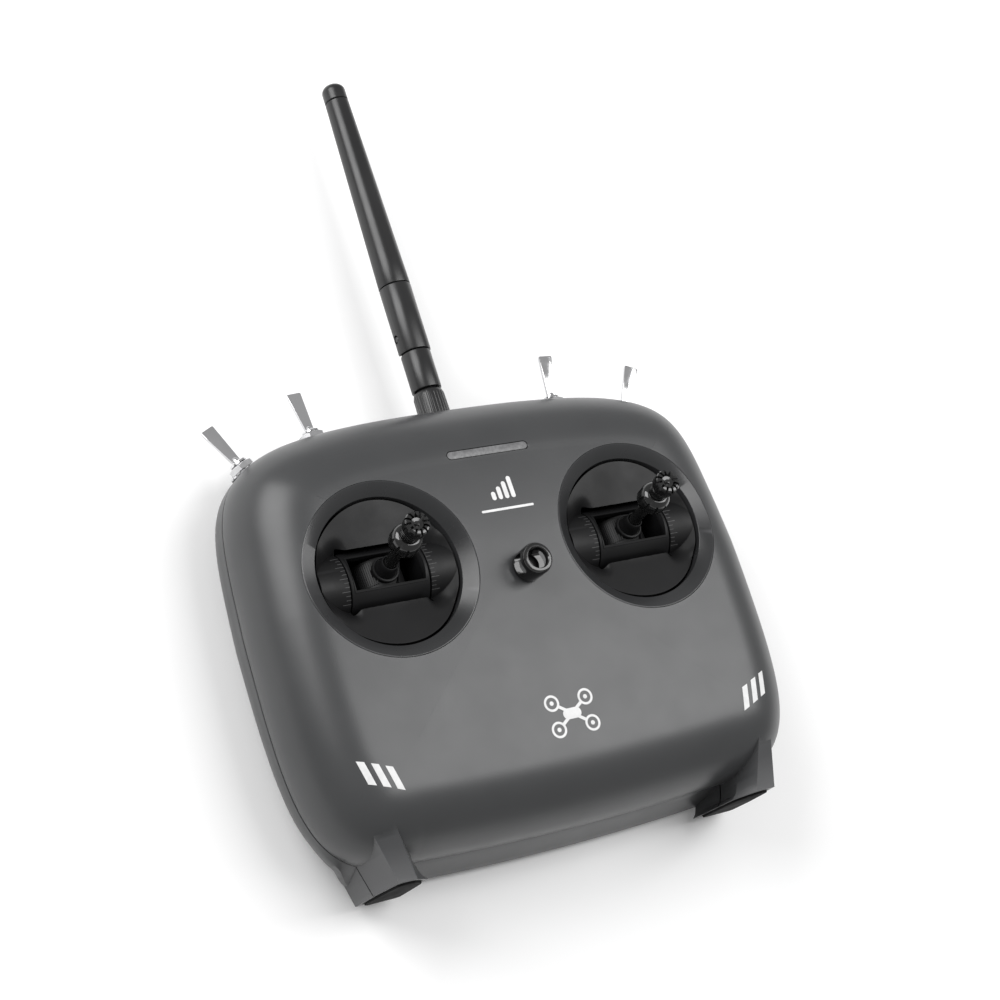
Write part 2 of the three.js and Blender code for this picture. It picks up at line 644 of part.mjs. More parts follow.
function stickTip() {
  const from = collarFrom + collarHeight + fit;
  const body = turned([[0, from], [tipRadius - 0.8, from], [tipRadius, from + 0.9],
    [tipRadius, stickTop - 1.6], [tipRadius - 0.4, stickTop], [2, stickTop], [1.6, stickTop - 1],
    [0, stickTop - 1]], 18);
  const notches = Array.from({ length: 6 }, (_, i) => {
    const angle = radians(i * 60);
    const notch = box([-0.8, 0.8], [2, 6], [stickTop - 1.6, stickTop + 1]);
    return moved(notch, new THREE.Matrix4().makeRotationZ(angle));
  });
  const shaftHole = rod(shaftRadius + fit, from - 1, stickTop - 3 + fit, round.small);
  return cut(body, notches).subtract(shaftHole);
}

function bezel(x) {
  const low = gimbalPlane - bezelDepth;
  const profile = [[bezelInner, low], [bezelRadius, low], [bezelRadius, 47],
    [bezelRadius - 0.6, 47], [bezelInner, gimbalPlane], [bezelInner, low]];
  return turned(profile, round.fine, "z", [x, 0, 0]).intersect(outerFront);
}

for (const [i, name] of ["left", "right"].entries()) {
  const x = gimbalX[i];
  piece(name + "_gimbal_bezel", bezel(x), bezelGrey());
  const gimbal = new THREE.Group();
  gimbal.position.set(x, 0, gimbalPlane);
  part.add(gimbal);
  piece(name + "_gimbal_housing", housing(), mattBlack(), gimbal);
  const leaning = new THREE.Group();
  leaning.applyMatrix4(place(0, 0, pivotZ)
    .multiply(new THREE.Matrix4().makeRotationX(-radians(stickLean)))
    .multiply(place(0, 0, -pivotZ)));
  gimbal.add(leaning);
  piece(name + "_gimbal_drum", drum(), mattBlack(), leaning);
  piece(name + "_gimbal_rocker", rocker(), mattBlack(), leaning);
  piece(name + "_stick_shaft", stickShaft(), glossBlack(), leaning);
  piece(name + "_stick_collar", stickCollar(), glossBlack(), leaning);
  piece(name + "_stick_tip", stickTip(), glossBlack(), leaning);
}

// ---- Toggle switches, in their own frame: the axis is +Y and the lever's flat faces are +Z and -Z ----
const leverPivot = washerThickness + fit + nutThickness + 0.2;

function switchCase() {
  const { wide, tall, deep } = switchBody;
  const below = -wall - fit;
  const can = box([-wide / 2, wide / 2], [below - tall, below], [-deep / 2, deep / 2]);
  const bushing = rod(bushingRadius, below - 1, bushingLength, round.small, "y");
  const throat = turned([[0, leverPivot - 2.4], [1.9, leverPivot - 2.4], [2.4, bushingLength + 1],
    [0, bushingLength + 1]], round.small, "y");
  return can.add(bushing).subtract(throat);
}

function switchWasher() {
  const ring = [[bushingRadius + fit, fit], [washerRadius, fit],
    [washerRadius, fit + washerThickness], [bushingRadius + fit, fit + washerThickness],
    [bushingRadius + fit, fit]];
  return turned(ring, round.medium, "y");
}

function switchNut() {
  const from = fit + washerThickness + fit;
  const hex = rod(nutAcrossFlats / Math.sqrt(3), from, from + nutThickness, 6, "y");
  const chamfer = turned([[0, from], [nutAcrossFlats / 2 + 0.55, from],
    [nutAcrossFlats / 2 + 0.55, from + nutThickness - 0.5], [nutAcrossFlats / 2, from + nutThickness],
    [0, from + nutThickness]], round.medium, "y");
  return hex.intersect(chamfer).subtract(rod(bushingRadius + fit, 0, 9, round.small, "y"));
}

function switchLever() {
  const from = bushingLength - 0.6;
  const to = from + leverLength;
  const blade = new THREE.Shape([
    new THREE.Vector2(-leverRootWidth / 2, from),
    new THREE.Vector2(leverRootWidth / 2, from),
    new THREE.Vector2(leverTipWidth / 2, to - 0.5),
    new THREE.Vector2(leverTipWidth / 2 - 0.5, to),
    new THREE.Vector2(-leverTipWidth / 2 + 0.5, to),
    new THREE.Vector2(-leverTipWidth / 2, to - 0.5),
  ]);
  const plate = new THREE.ExtrudeGeometry(blade, { depth: leverThickness, bevelEnabled: false });
  const stem = turned([[0, leverPivot - 1.6], [1.3, leverPivot - 1], [1.5, leverPivot],
    [1.3, leverPivot + 1], [1.25, from + 1.4], [0, from + 2.4]], 12, "y");
  return solid(plate, place(0, 0, -leverThickness / 2)).add(stem);
}

for (const { name, seat, stop } of switchPlaces) {
  const group = new THREE.Group();
  group.applyMatrix4(seat);
  part.add(group);
  piece(name + "_switch_case", switchCase(), chrome(), group);
  piece(name + "_switch_washer", switchWasher(), chrome(), group);
  piece(name + "_switch_nut", switchNut(), chrome(), group);
  const lever = new THREE.Group();
  lever.applyMatrix4(place(0, leverPivot, 0)
    .multiply(new THREE.Matrix4().makeRotationX(radians(stop * leverThrow)))
    .multiply(place(0, -leverPivot, 0)));
  group.add(lever);
  piece(name + "_switch_lever", switchLever(), chrome(), lever);
}

// ---- Antenna, in a frame on its own axis ----
const antenna = new THREE.Group();
antenna.position.z = topAxis;
part.add(antenna);
const knuckleY = lowerBarrelTo + knuckleRise;

function antennaConnector() {
  const inside = caseTop - wall - fit;
  const profile = [[0, inside - 7], [connectorFlange, inside - 7], [connectorFlange, inside],
    [connectorRadius, inside],
    [connectorRadius, couplingTo - 3], [0, couplingTo - 3]];
  const bore = rod(1.3, couplingTo - 7, couplingTo, 12, "y");
  return turned(profile, round.small, "y").subtract(bore);
}

function couplingNut() {
  const r = couplingRadius;
  const profile = [[connectorRadius + fit, couplingFrom], [r, couplingFrom], [r, couplingTo - 1.6],
    [r - 0.9, couplingTo], [connectorRadius + fit, couplingTo], [connectorRadius + fit, couplingFrom]];
  const grooves = Array.from({ length: 12 }, (_, i) => {
    const angle = (i / 12) * Math.PI * 2;
    return rod(0.42, couplingFrom - 1, couplingTo + 1, 6, "y",
      [Math.cos(angle) * (r + 0.1), 0, Math.sin(angle) * (r + 0.1)]);
  });
  return cut(turned(profile, 24, "y"), grooves);
}

function lowerBarrel() {
  const from = couplingTo + fit;
  const r = lowerBarrelRadius;
  const profile = [[0, couplingTo - 2.6], [connectorRadius, couplingTo - 2.6],
    [connectorRadius, from], [r, from], [r, lowerBarrelTo], [0, lowerBarrelTo]];
  const tongue = rod(tongueRadius, -tongueHalf, tongueHalf, round.small, "x", [0, knuckleY, 0])
    .add(box([-tongueHalf, tongueHalf], [lowerBarrelTo - 1, knuckleY], [-tongueRadius, tongueRadius]));
  const pinHole = rod(hingePinRadius + 0.05, -9, 9, round.small, "x", [0, knuckleY, 0]);
  return turned(profile, round.medium, "y").add(tongue).subtract(pinHole);
}

// The fork is open at the back only. Its rear corner is rounded about the pin, so it clears the lower
// barrel as the mast folds back.
function upperBarrel() {
  const from = lowerBarrelTo + fit;
  const r = upperBarrelRadius;
  const body = rod(r, from, upperBarrelTo, round.medium, "y");
  const slot = box([-tongueHalf - fit, tongueHalf + fit], [from - 1, knuckleY + 4.3],
    [-9, tongueRadius + fit]);
  const swing = knuckleRise - fit;
  const rearCorner = box([-9, 9], [from - 1, knuckleY], [-9, 0])
    .subtract(rod(swing, -9, 9, round.medium, "x", [0, knuckleY, 0]));
  const pinHole = rod(hingePinRadius + fit, -9, 9, round.small, "x", [0, knuckleY, 0]);
  return cut(body, [slot, rearCorner, pinHole]);
}

function mast() {
  const from = upperBarrelTo + fit;
  return turned([[0, from], [upperBarrelRadius - 0.2, from], [upperBarrelRadius, from + 0.4],
    [tipCapRadius, mastTop], [0, mastTop]], round.medium, "y");
}

function tipCap() {
  const from = mastTop + fit;
  const dome = Array.from({ length: 5 }, (_, i) => {
    const angle = (i / 4) * (Math.PI / 2);
    return [tipCapRadius * Math.cos(angle), antennaTop - 3 + 3 * Math.sin(angle)];
  });
  return turned([[0, from], [tipCapRadius - 0.2, from], [tipCapRadius, from + 0.3],
    ...dome.slice(0, -1), [0, antennaTop]], round.medium, "y");
}

piece("antenna_connector", antennaConnector(), finish(0xb08d4a, 0.3, 1), antenna);
piece("antenna_coupling_nut", couplingNut(), mattBlack(), antenna);
piece("antenna_lower_barrel", lowerBarrel(), mattBlack(), antenna);
piece("antenna_hinge_pin",
  rod(hingePinRadius, -4.4, 4.4, round.small, "x", [0, knuckleY, 0]), chrome(), antenna);
piece("antenna_upper_barrel", upperBarrel(), mattBlack(), antenna);
piece("antenna_mast", mast(), mattBlack(), antenna);
piece("antenna_tip_cap", tipCap(), mattBlack(), antenna);

export default part;
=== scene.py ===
import bpy
import bmesh
import json
import math
from mathutils import Matrix, Vector
from mathutils.bvhtree import BVHTree


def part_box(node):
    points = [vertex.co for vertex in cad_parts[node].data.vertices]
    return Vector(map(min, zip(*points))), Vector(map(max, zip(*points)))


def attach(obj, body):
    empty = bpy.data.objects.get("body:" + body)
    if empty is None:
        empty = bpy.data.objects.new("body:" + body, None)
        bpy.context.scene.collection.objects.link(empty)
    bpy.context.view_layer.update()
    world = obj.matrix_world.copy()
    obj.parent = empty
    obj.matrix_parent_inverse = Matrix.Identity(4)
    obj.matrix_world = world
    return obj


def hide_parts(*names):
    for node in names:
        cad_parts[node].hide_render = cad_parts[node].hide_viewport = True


# A two-stick radio transmitter. Shapes are modelled in millimetres and scaled to metres at the end.
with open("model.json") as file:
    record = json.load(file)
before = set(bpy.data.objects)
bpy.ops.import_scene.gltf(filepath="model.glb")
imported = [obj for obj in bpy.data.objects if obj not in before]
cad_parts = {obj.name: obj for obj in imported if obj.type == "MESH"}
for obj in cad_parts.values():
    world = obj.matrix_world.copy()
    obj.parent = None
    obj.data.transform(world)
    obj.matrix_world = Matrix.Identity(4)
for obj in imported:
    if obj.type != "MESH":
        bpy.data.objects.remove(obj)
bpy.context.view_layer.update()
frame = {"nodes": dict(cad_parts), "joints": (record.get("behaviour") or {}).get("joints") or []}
millimetre = 0.001


def boxOf(node):
    low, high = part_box(node)
    return low / millimetre, high / millimetre


def middleOf(node):
    low, high = boxOf(node)
    return (low + high) / 2


seamHeight = boxOf("front_shell")[0].z - 0.15

# camera and studio
view = {
    "position": (-0.31328, -0.15514, 0.59820),
    "right": (0.8687, -0.2930, 0.3994),
    "up": (0.1427, 0.9201, 0.3647),
    "lens": 75.17,
    "sensor": 36.0,
}
studio = {
    "floorSize": 6.0,
    "floorColour": (0.94, 0.94, 0.94, 1),
    "worldColour": (1.0, 1.0, 1.0, 1),
    "worldStrength": 0.42,
    "rightBox": {"place": (0.40, 0.02, 0.80), "size": (0.40, 0.80), "power": 5.2},
    "leftBox": {"place": (-0.57, 0.50, 0.56), "size": (0.60, 0.60), "power": 7.0},
}


def makeCamera():
    camera = bpy.data.objects.new("camera", bpy.data.cameras.new("camera"))
    right = Vector(view["right"]).normalized()
    up = Vector(view["up"])
    up = (up - right * up.dot(right)).normalized()
    back = right.cross(up)
    turn = Matrix((right, up, back)).transposed().to_4x4()
    camera.matrix_world = Matrix.Translation(view["position"]) @ turn
    camera.data.lens = view["lens"]
    camera.data.sensor_width = view["sensor"]
    camera.data.clip_start = 0.01
    camera.data.clip_end = 50
    bpy.context.scene.collection.objects.link(camera)
    bpy.context.scene.camera = camera


def softBox(name, box, target=(0, 0, 0.03)):
    light = bpy.data.objects.new(name, bpy.data.lights.new(name, "AREA"))
    light.data.shape = "RECTANGLE"
    light.data.size, light.data.size_y = box["size"]
    light.data.energy = box["power"]
    light.location = box["place"]
    light.rotation_mode = "QUATERNION"
    light.rotation_quaternion = (Vector(target) - Vector(box["place"])).to_track_quat("-Z", "Y")
    bpy.context.scene.collection.objects.link(light)


def makeStudio():
    bpy.context.scene.view_settings.view_transform = "Standard"
    world = bpy.data.worlds.new("studio")
    world.use_nodes = True
    background = world.node_tree.nodes["Background"]
    background.inputs["Color"].default_value = studio["worldColour"]
    background.inputs["Strength"].default_value = studio["worldStrength"]
    bpy.context.scene.world = world
    bm = bmesh.new()
    bmesh.ops.create_grid(bm, x_segments=1, y_segments=1, size=studio["floorSize"] / 2)
    mesh = bpy.data.meshes.new("floor")
    bm.to_mesh(mesh)
    bm.free()
    floor = bpy.data.objects.new("floor", mesh)
    paint = bpy.data.materials.new("floor")
    paint.use_nodes = True
    shader = paint.node_tree.nodes["Principled BSDF"]
    shader.inputs["Base Color"].default_value = studio["floorColour"]
    shader.inputs["Roughness"].default_value = 0.9
    shader.inputs["Specular IOR Level"].default_value = 0.1
    mesh.materials.append(paint)
    bpy.context.scene.collection.objects.link(floor)
    for name in ("rightBox", "leftBox"):
        softBox(name, studio[name])


makeCamera()
makeStudio()
print("camera and studio made")


# materials: every finish has its grain, its changes of tone and its edges lightened as rubbed wear and
# painted highlight; the case grey also carries painted seam shade
def link(tree, output, target):
    tree.links.new(output, target)


def objectNoise(tree, scale, detail=2.0, stretch=None):
    place = tree.nodes.new("ShaderNodeTexCoord")
    noise = tree.nodes.new("ShaderNodeTexNoise")
    noise.inputs["Scale"].default_value = scale
    noise.inputs["Detail"].default_value = detail
    source = place.outputs["Object"]
    if stretch:
        mapping = tree.nodes.new("ShaderNodeMapping")
        mapping.inputs["Scale"].default_value = stretch
        link(tree, source, mapping.inputs["Vector"])
        source = mapping.outputs["Vector"]
    link(tree, source, noise.inputs["Vector"])
    return noise.outputs["Fac"]


def between(tree, value, low, high, fromLow=0.3, fromHigh=0.7):
    span = tree.nodes.new("ShaderNodeMapRange")
    span.inputs["From Min"].default_value = fromLow
    span.inputs["From Max"].default_value = fromHigh
    span.inputs["To Min"].default_value = low
    span.inputs["To Max"].default_value = high
    link(tree, value, span.inputs["Value"])
    return span.outputs["Result"]


def mixColours(tree, share, first, second):
    mix = tree.nodes.new("ShaderNodeMix")
    mix.data_type = "RGBA"
    link(tree, share, mix.inputs[0])
    for socket, colour in ((mix.inputs[6], first), (mix.inputs[7], second)):
        if isinstance(colour, tuple):
            socket.default_value = (*colour, 1)
        else:
            link(tree, colour, socket)
    return mix.outputs[2]


# Painted shade: a fine dark line laid along the joint between the two case halves, where the gap's shadow
# falls.
paintedSeamShade = {"edges": (0.0003, 0.00045), "colour": (0.002, 0.002, 0.002)}


def seamShadow(tree, colour):
    place = tree.nodes.new("ShaderNodeTexCoord")
    split = tree.nodes.new("ShaderNodeSeparateXYZ")
    link(tree, place.outputs["Object"], split.inputs["Vector"])
    away = tree.nodes.new("ShaderNodeMath")
    away.operation = "SUBTRACT"
    away.inputs[1].default_value = seamHeight * millimetre
    link(tree, split.outputs["Z"], away.inputs[0])
    size = tree.nodes.new("ShaderNodeMath")
    size.operation = "ABSOLUTE"
    link(tree, away.outputs["Value"], size.inputs[0])
    share = between(tree, size.outputs["Value"], 0.0, 1.0, *paintedSeamShade["edges"])
    return mixColours(tree, share, paintedSeamShade["colour"], colour)


def makeFinish(name, finish):
    material = bpy.data.materials.new(name)
    material.use_nodes = True
    tree = material.node_tree
    shader = tree.nodes["Principled BSDF"]
    shader.inputs["Metallic"].default_value = finish.get("metallic", 0.0)
    shader.inputs["Specular IOR Level"].default_value = finish.get("specular", 0.5)
    shader.inputs["Coat Weight"].default_value = finish.get("coat", 0.0)
    shader.inputs["Coat Roughness"].default_value = finish.get("coatRoughness", 0.1)
    cloud = objectNoise(tree, finish.get("cloudScale", 35.0), 3.0)
    share = between(tree, cloud, 0.0, 1.0)
    colour = mixColours(tree, share, finish["dark"], finish["light"])
    # Convex edges turn lighter: partly rubbed wear, partly a painted highlight where the edges catch the
    # light.
    if finish.get("edgeWearAndHighlight"):
        geometry = tree.nodes.new("ShaderNodeNewGeometry")
        edge = between(tree, geometry.outputs["Pointiness"], 0.0, finish["edgeWearAndHighlight"], 0.53, 0.62)
        colour = mixColours(tree, edge, colour, finish["wornAndHighlitEdge"])
    # painted shade: a dark line along the case seam
    if finish.get("seam"):
        colour = seamShadow(tree, colour)
    link(tree, colour, shader.inputs["Base Color"])
    grain = objectNoise(tree, finish.get("grainScale", 2600.0), 2.0, finish.get("stretch"))
    smear = objectNoise(tree, finish.get("smearScale", 90.0), 4.0)
    low, high = finish["roughness"]
    link(tree, between(tree, smear, low, high), shader.inputs["Roughness"])
    bump = tree.nodes.new("ShaderNodeBump")
    bump.inputs["Strength"].default_value = finish.get("bump", 0.15)
    bump.inputs["Distance"].default_value = finish.get("bumpDepth", 0.00006)
    link(tree, grain, bump.inputs["Height"])
    link(tree, bump.outputs["Normal"], shader.inputs["Normal"])
    return material


# The edge-wear numbers lighten convex edges as rubbed wear and painted highlight; caseGrey's seam flag lays
# painted shade along the case seam.
finishes = {
    "caseGrey": {"dark": (0.038, 0.039, 0.0405), "light": (0.044, 0.045, 0.0465), "roughness": (0.34, 0.38),
                 "bump": 0.2, "grainScale": 2400.0, "edgeWearAndHighlight": 0.35, "wornAndHighlitEdge": (0.1, 0.1, 0.105), "seam": True},
    "bezelGrey": {"dark": (0.018, 0.0185, 0.0195), "light": (0.023, 0.0235, 0.0245),
                  "roughness": (0.26, 0.32), "bump": 0.12, "grainScale": 3000.0,
                  "edgeWearAndHighlight": 0.5, "wornAndHighlitEdge": (0.1, 0.1, 0.105)},
    "mattBlack": {"dark": (0.004, 0.004, 0.0043), "light": (0.0065, 0.0065, 0.007), "roughness": (0.4, 0.52),
                  "bump": 0.25, "grainScale": 2000.0, "edgeWearAndHighlight": 0.4, "wornAndHighlitEdge": (0.02, 0.02, 0.021),
                  "specular": 0.25},
    "antennaBlack": {"dark": (0.009, 0.009, 0.0095), "light": (0.013, 0.013, 0.0135),
                     "roughness": (0.28, 0.36), "bump": 0.2, "grainScale": 2200.0, "stretch": (1, 0.4, 1),
                     "edgeWearAndHighlight": 0.3, "wornAndHighlitEdge": (0.05, 0.05, 0.052)},
    "glossBlack": {"dark": (0.004, 0.004, 0.004), "light": (0.008, 0.008, 0.008), "roughness": (0.10, 0.2),
                   "bump": 0.06, "grainScale": 900.0, "coat": 0.4, "coatRoughness": 0.06, "edgeWearAndHighlight": 0.3,
                   "wornAndHighlitEdge": (0.03, 0.03, 0.03)},
    "padRubber": {"dark": (0.004, 0.004, 0.004), "light": (0.007, 0.007, 0.007), "roughness": (0.75, 0.9),
                  "bump": 0.5, "grainScale": 1500.0, "bumpDepth": 0.0001, "specular": 0.2},
    "chrome": {"dark": (0.62, 0.62, 0.63), "light": (0.78, 0.78, 0.79), "roughness": (0.08, 0.18),
               "metallic": 1.0, "bump": 0.05, "grainScale": 1200.0, "stretch": (1, 0.15, 1),
               "smearScale": 400.0},
    "screwSteel": {"dark": (0.22, 0.22, 0.23), "light": (0.36, 0.36, 0.37), "roughness": (0.25, 0.42),
                   "metallic": 1.0, "bump": 0.15, "grainScale": 1800.0, "smearScale": 500.0},
    "goldPlate": {"dark": (0.58, 0.41, 0.16), "light": (0.72, 0.52, 0.24), "roughness": (0.2, 0.34),
                  "metallic": 1.0, "bump": 0.08, "grainScale": 1800.0, "smearScale": 500.0},
    "lightBar": {"dark": (0.1, 0.1, 0.103), "light": (0.17, 0.17, 0.173), "roughness": (0.34, 0.5),
                 "cloudScale": 900.0, "bump": 0.3, "grainScale": 1500.0, "smearScale": 700.0},
    "boardGreen": {"dark": (0.008, 0.05, 0.02), "light": (0.015, 0.085, 0.035), "roughness": (0.3, 0.45),
                   "cloudScale": 260.0, "bump": 0.2, "grainScale": 1200.0},
    "cellWrap": {"dark": (0.02, 0.09, 0.22), "light": (0.03, 0.13, 0.3), "roughness": (0.22, 0.34),
                 "bump": 0.1, "grainScale": 700.0},
    "markingPaint": {"dark": (0.62, 0.62, 0.62), "light": (0.72, 0.72, 0.72), "roughness": (0.45, 0.6),
                     "bump": 0.15, "grainScale": 3000.0, "cloudScale": 400.0},
    "scalePaint": {"dark": (0.05, 0.05, 0.051), "light": (0.09, 0.09, 0.091), "roughness": (0.5, 0.6),
                   "bump": 0.1, "grainScale": 2500.0, "cloudScale": 700.0},
}
material = {name: makeFinish(name, finish) for name, finish in finishes.items()}
print("finishes made:", len(material))


# bmesh helpers
def shade(mesh, sharpAbove=32):
    mesh.polygons.foreach_set("use_smooth", [True] * len(mesh.polygons))
    mesh.set_sharp_from_angle(angle=math.radians(sharpAbove))


def finishPiece(name, bm, finish, body, stands=(), sharpAbove=32):
    bmesh.ops.remove_doubles(bm, verts=bm.verts, dist=1e-4)
    bmesh.ops.recalc_face_normals(bm, faces=bm.faces)
    bmesh.ops.scale(bm, vec=(millimetre,) * 3, verts=bm.verts)
    mesh = bpy.data.meshes.new(name)
    bm.to_mesh(mesh)
    bm.free()
    return finishMesh(name, mesh, finish, body, stands, sharpAbove)


def finishMesh(name, mesh, finish, body, stands=(), sharpAbove=32):
    shade(mesh, sharpAbove)
    mesh.materials.clear()
    mesh.materials.append(material[finish])
    piece = bpy.data.objects.new(name, mesh)
    bpy.context.scene.collection.objects.link(piece)
    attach(piece, body)
    if stands:
        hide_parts(*stands)
    return piece


def rounded(bm, edges, width, segments, clamp=False):
    bmesh.ops.bevel(bm, geom=edges, offset=width, offset_type="OFFSET", affect="EDGES",
                    segments=segments, profile=0.5, material=-1, clamp_overlap=clamp)


def bevelEdges(bm, width, segments=2, over=35):
    bm.normal_update()
    edges = [e for e in bm.edges if len(e.link_faces) == 2 and e.calc_face_angle(0) > math.radians(over)]
    if edges:
        rounded(bm, edges, width, segments, True)


axisTurns = {
    "z": Matrix.Identity(4),
    "x": Matrix.Rotation(math.radians(90), 4, "Y"),
    "y": Matrix.Rotation(math.radians(-90), 4, "X"),
}


# A profile of (radius, height) points, spun about an axis through centre.
def spun(profile, steps, axis="z", centre=(0, 0, 0), closed=False):
    bm = bmesh.new()
    verts = [bm.verts.new((radius, 0, height)) for radius, height in profile]
    edges = [bm.edges.new(pair) for pair in zip(verts, verts[1:])]
    if closed:
        edges.append(bm.edges.new((verts[-1], verts[0])))
    bmesh.ops.spin(bm, geom=verts + edges, cent=(0, 0, 0), axis=(0, 0, 1), angle=math.tau,
                   steps=steps, use_merge=True)
    bmesh.ops.remove_doubles(bm, verts=bm.verts, dist=1e-4)
    bmesh.ops.recalc_face_normals(bm, faces=bm.faces)
    bmesh.ops.transform(bm, matrix=Matrix.Translation(centre) @ axisTurns[axis], verts=bm.verts)
    return bm


def rod(radius, low, high, steps, axis="z", centre=(0, 0, 0)):
    return spun([(0, low), (radius, low), (radius, high), (0, high)], steps, axis, centre)


def block(xs, ys, zs):
    bm = bmesh.new()
    bmesh.ops.create_cube(bm, size=1)
    bmesh.ops.scale(bm, vec=(xs[1] - xs[0], ys[1] - ys[0], zs[1] - zs[0]), verts=bm.verts)
    middle = ((xs[0] + xs[1]) / 2, (ys[0] + ys[1]) / 2, (zs[0] + zs[1]) / 2)
    bmesh.ops.translate(bm, vec=middle, verts=bm.verts)
    return bm


# A flat outline pushed up from low to high; flare widens its top like a chamfer.
def slab(outline, low, high, flare=0.0, flareFrom=None):
    bm = bmesh.new()
    face = bm.faces.new([bm.verts.new((x, y, low)) for x, y in outline])
    heights = [high] if flareFrom is None else [flareFrom, high]
    for i, height in enumerate(heights):
        made = bmesh.ops.extrude_face_region(bm, geom=[face])
        if i:
            bm.faces.remove(face)
        verts = [v for v in made["geom"] if isinstance(v, bmesh.types.BMVert)]
        face = next(f for f in made["geom"] if isinstance(f, bmesh.types.BMFace))
        middle = sum((v.co for v in verts), Vector()) / len(verts)
        for v in verts:
            v.co.z = height
            if flare and i == len(heights) - 1:
                away = v.co - Vector((middle.x, middle.y, v.co.z))
                v.co += away.normalized() * flare
    bmesh.ops.recalc_face_normals(bm, faces=bm.faces)
    return bm


def arc(centre, radius, fromAngle, toAngle, steps):
    angles = [math.radians(fromAngle + (toAngle - fromAngle) * i / steps) for i in range(steps + 1)]
    return [(centre[0] + radius * math.cos(a), centre[1] + radius * math.sin(a)) for a in angles]


def pill(halfLength, halfWidth, centre, steps=12):
    x, y = centre
    right = arc((x + halfLength, y), halfWidth, -90, 90, steps)
    return right + arc((x - halfLength, y), halfWidth, 90, 270, steps)


def joined(*parts):
    whole = bmesh.new()
    for part in parts:
        mesh = bpy.data.meshes.new("part")
        part.to_mesh(mesh)
        part.free()
        whole.from_mesh(mesh)
        bpy.data.meshes.remove(mesh)
    return whole


def movedBy(bm, matrix):
    bmesh.ops.transform(bm, matrix=matrix, verts=bm.verts)
    return bm


def asObject(bm, name="tool"):
    mesh = bpy.data.meshes.new(name)
    bm.to_mesh(mesh)
    bm.free()
    tool = bpy.data.objects.new(name, mesh)
    bpy.context.scene.collection.objects.link(tool)
    return tool


# Joins or cuts closed bmeshes one after another and gives the result back as a bmesh.
def combined(bm, tools, operation="DIFFERENCE"):
    body = asObject(bm, "body")
    made = []
    for tool in tools:
        cutter = asObject(tool)
        made.append(cutter)
        step = body.modifiers.new("step", "BOOLEAN")
        step.operation = operation
        step.solver = "MANIFOLD"
        step.object = cutter
    graph = bpy.context.evaluated_depsgraph_get()
    result = bmesh.new()
    result.from_mesh(body.evaluated_get(graph).to_mesh())
    for obj in [body, *made]:
        mesh = obj.data
        bpy.data.objects.remove(obj)
        bpy.data.meshes.remove(mesh)
    return result


def cut(bm, tools):
    return combined(bm, tools)


def join(bm, tools):
    return combined(bm, tools, "UNION")


def smoothStep(low, high, value):
    share = min(max((value - low) / (high - low), 0.0), 1.0)
    return share * share * (3 - 2 * share)


# the two case shells: an outline ring that is extruded up row by row and drawn inwards
frontLow, frontHigh = boxOf("front_shell")
case = {
    "halfWidth": frontHigh.x - 0.1,
    "top": frontHigh.y,
    "sole": -frontLow.y,
    "footDrop": 5.1,
    "widestBelow": 8.0,
    "seam": seamHeight,
    "seamGap": 0.3,
    "crown": 1.15,
    "wall": 2.2,
    "sideRadius": 20.5,
    "topRadius": 24.0,
    "backRadius": 15.5,
    "lowerBackRadius": 18.5,
    "backBottomRadius": 5.0,
    "bottomFlare": 3.2,
    "edgeRadius": 0.25,
    "fit": 0.3,
    "arcRows": 22,
}
case["shoulder"] = frontHigh.z - case["crown"]
case["bottom"] = case["sole"] - case["footDrop"]
foot = {"x": case["halfWidth"] - 26.5}


def bezier(points, t):
    while len(points) > 1:
        points = [a.lerp(b, t) for a, b in zip(points, points[1:])]
    return points[0]


# The right half of the outline from the top middle round to the bottom middle, finer near the foot.
def halfOutline():
    w, top, bottom = case["halfWidth"], case["top"], case["bottom"]
    widest = Vector((w, -case["widestBelow"]))
    corner = Vector((w * 0.64, -bottom + 1.7))
    upper = [Vector((0, top)), Vector((w * 1.01, top)), Vector((w * 0.968, top * 0.82)), widest]
    lower = [widest, Vector((w + 0.5, -bottom * 0.67)), Vector((w + 1.5, -bottom + 0.5)), corner]
    flat = [corner, Vector((w * 0.32, -bottom)), Vector((0, -bottom))]
    ring = [bezier(upper, i / 56) for i in range(56)]
    ring += [bezier(lower, i / 84) for i in range(84)]
    ring += [bezier(flat, (i / 60) ** 1.35) for i in range(61)]
    return ring


def wholeOutline():
    right = halfOutline()
    left = [Vector((-p.x, p.y)) for p in reversed(right[1:-1])]
    ring = right + left
    ring.reverse()
    count = len(ring)
    inward = []
    for i in range(count):
        along = (ring[(i + 1) % count] - ring[i - 1]).normalized()
        inward.append(Vector((-along.y, along.x)))
    return ring, inward


outlineRing, outlineInward = wholeOutline()


def frontRadius(y):
    side, top = case["sideRadius"], case["topRadius"]
    return side + (top - side) * smoothStep(-20, case["top"] - 16, y)


def rearRadius(y):
    lower = smoothStep(0, case["bottom"] - 16, -y)
    side = case["backRadius"] + (case["lowerBackRadius"] - case["backRadius"]) * lower
    return side + (case["backBottomRadius"] - side) * smoothStep(case["bottom"] - 8, case["bottom"] - 2.2, -y)


# A foot runs from a small sole up into the case. Its inner flank is hollowed, its outer ones are flat.
footRings = {
    "sole": ((6.4, 37), (8.6, 21), (8.6, 5.5), (-7, 5.5), (-6, 30), (0, 36)),
    "root": ((10.6, 38), (13, 21), (13.5, 8), (-2, 6), (0.2, 33), (4, 41)),
    "rootRise": 10.5,
    "steps": 14,
    "reach": 1.2,
    "hollow": 0.55,
}


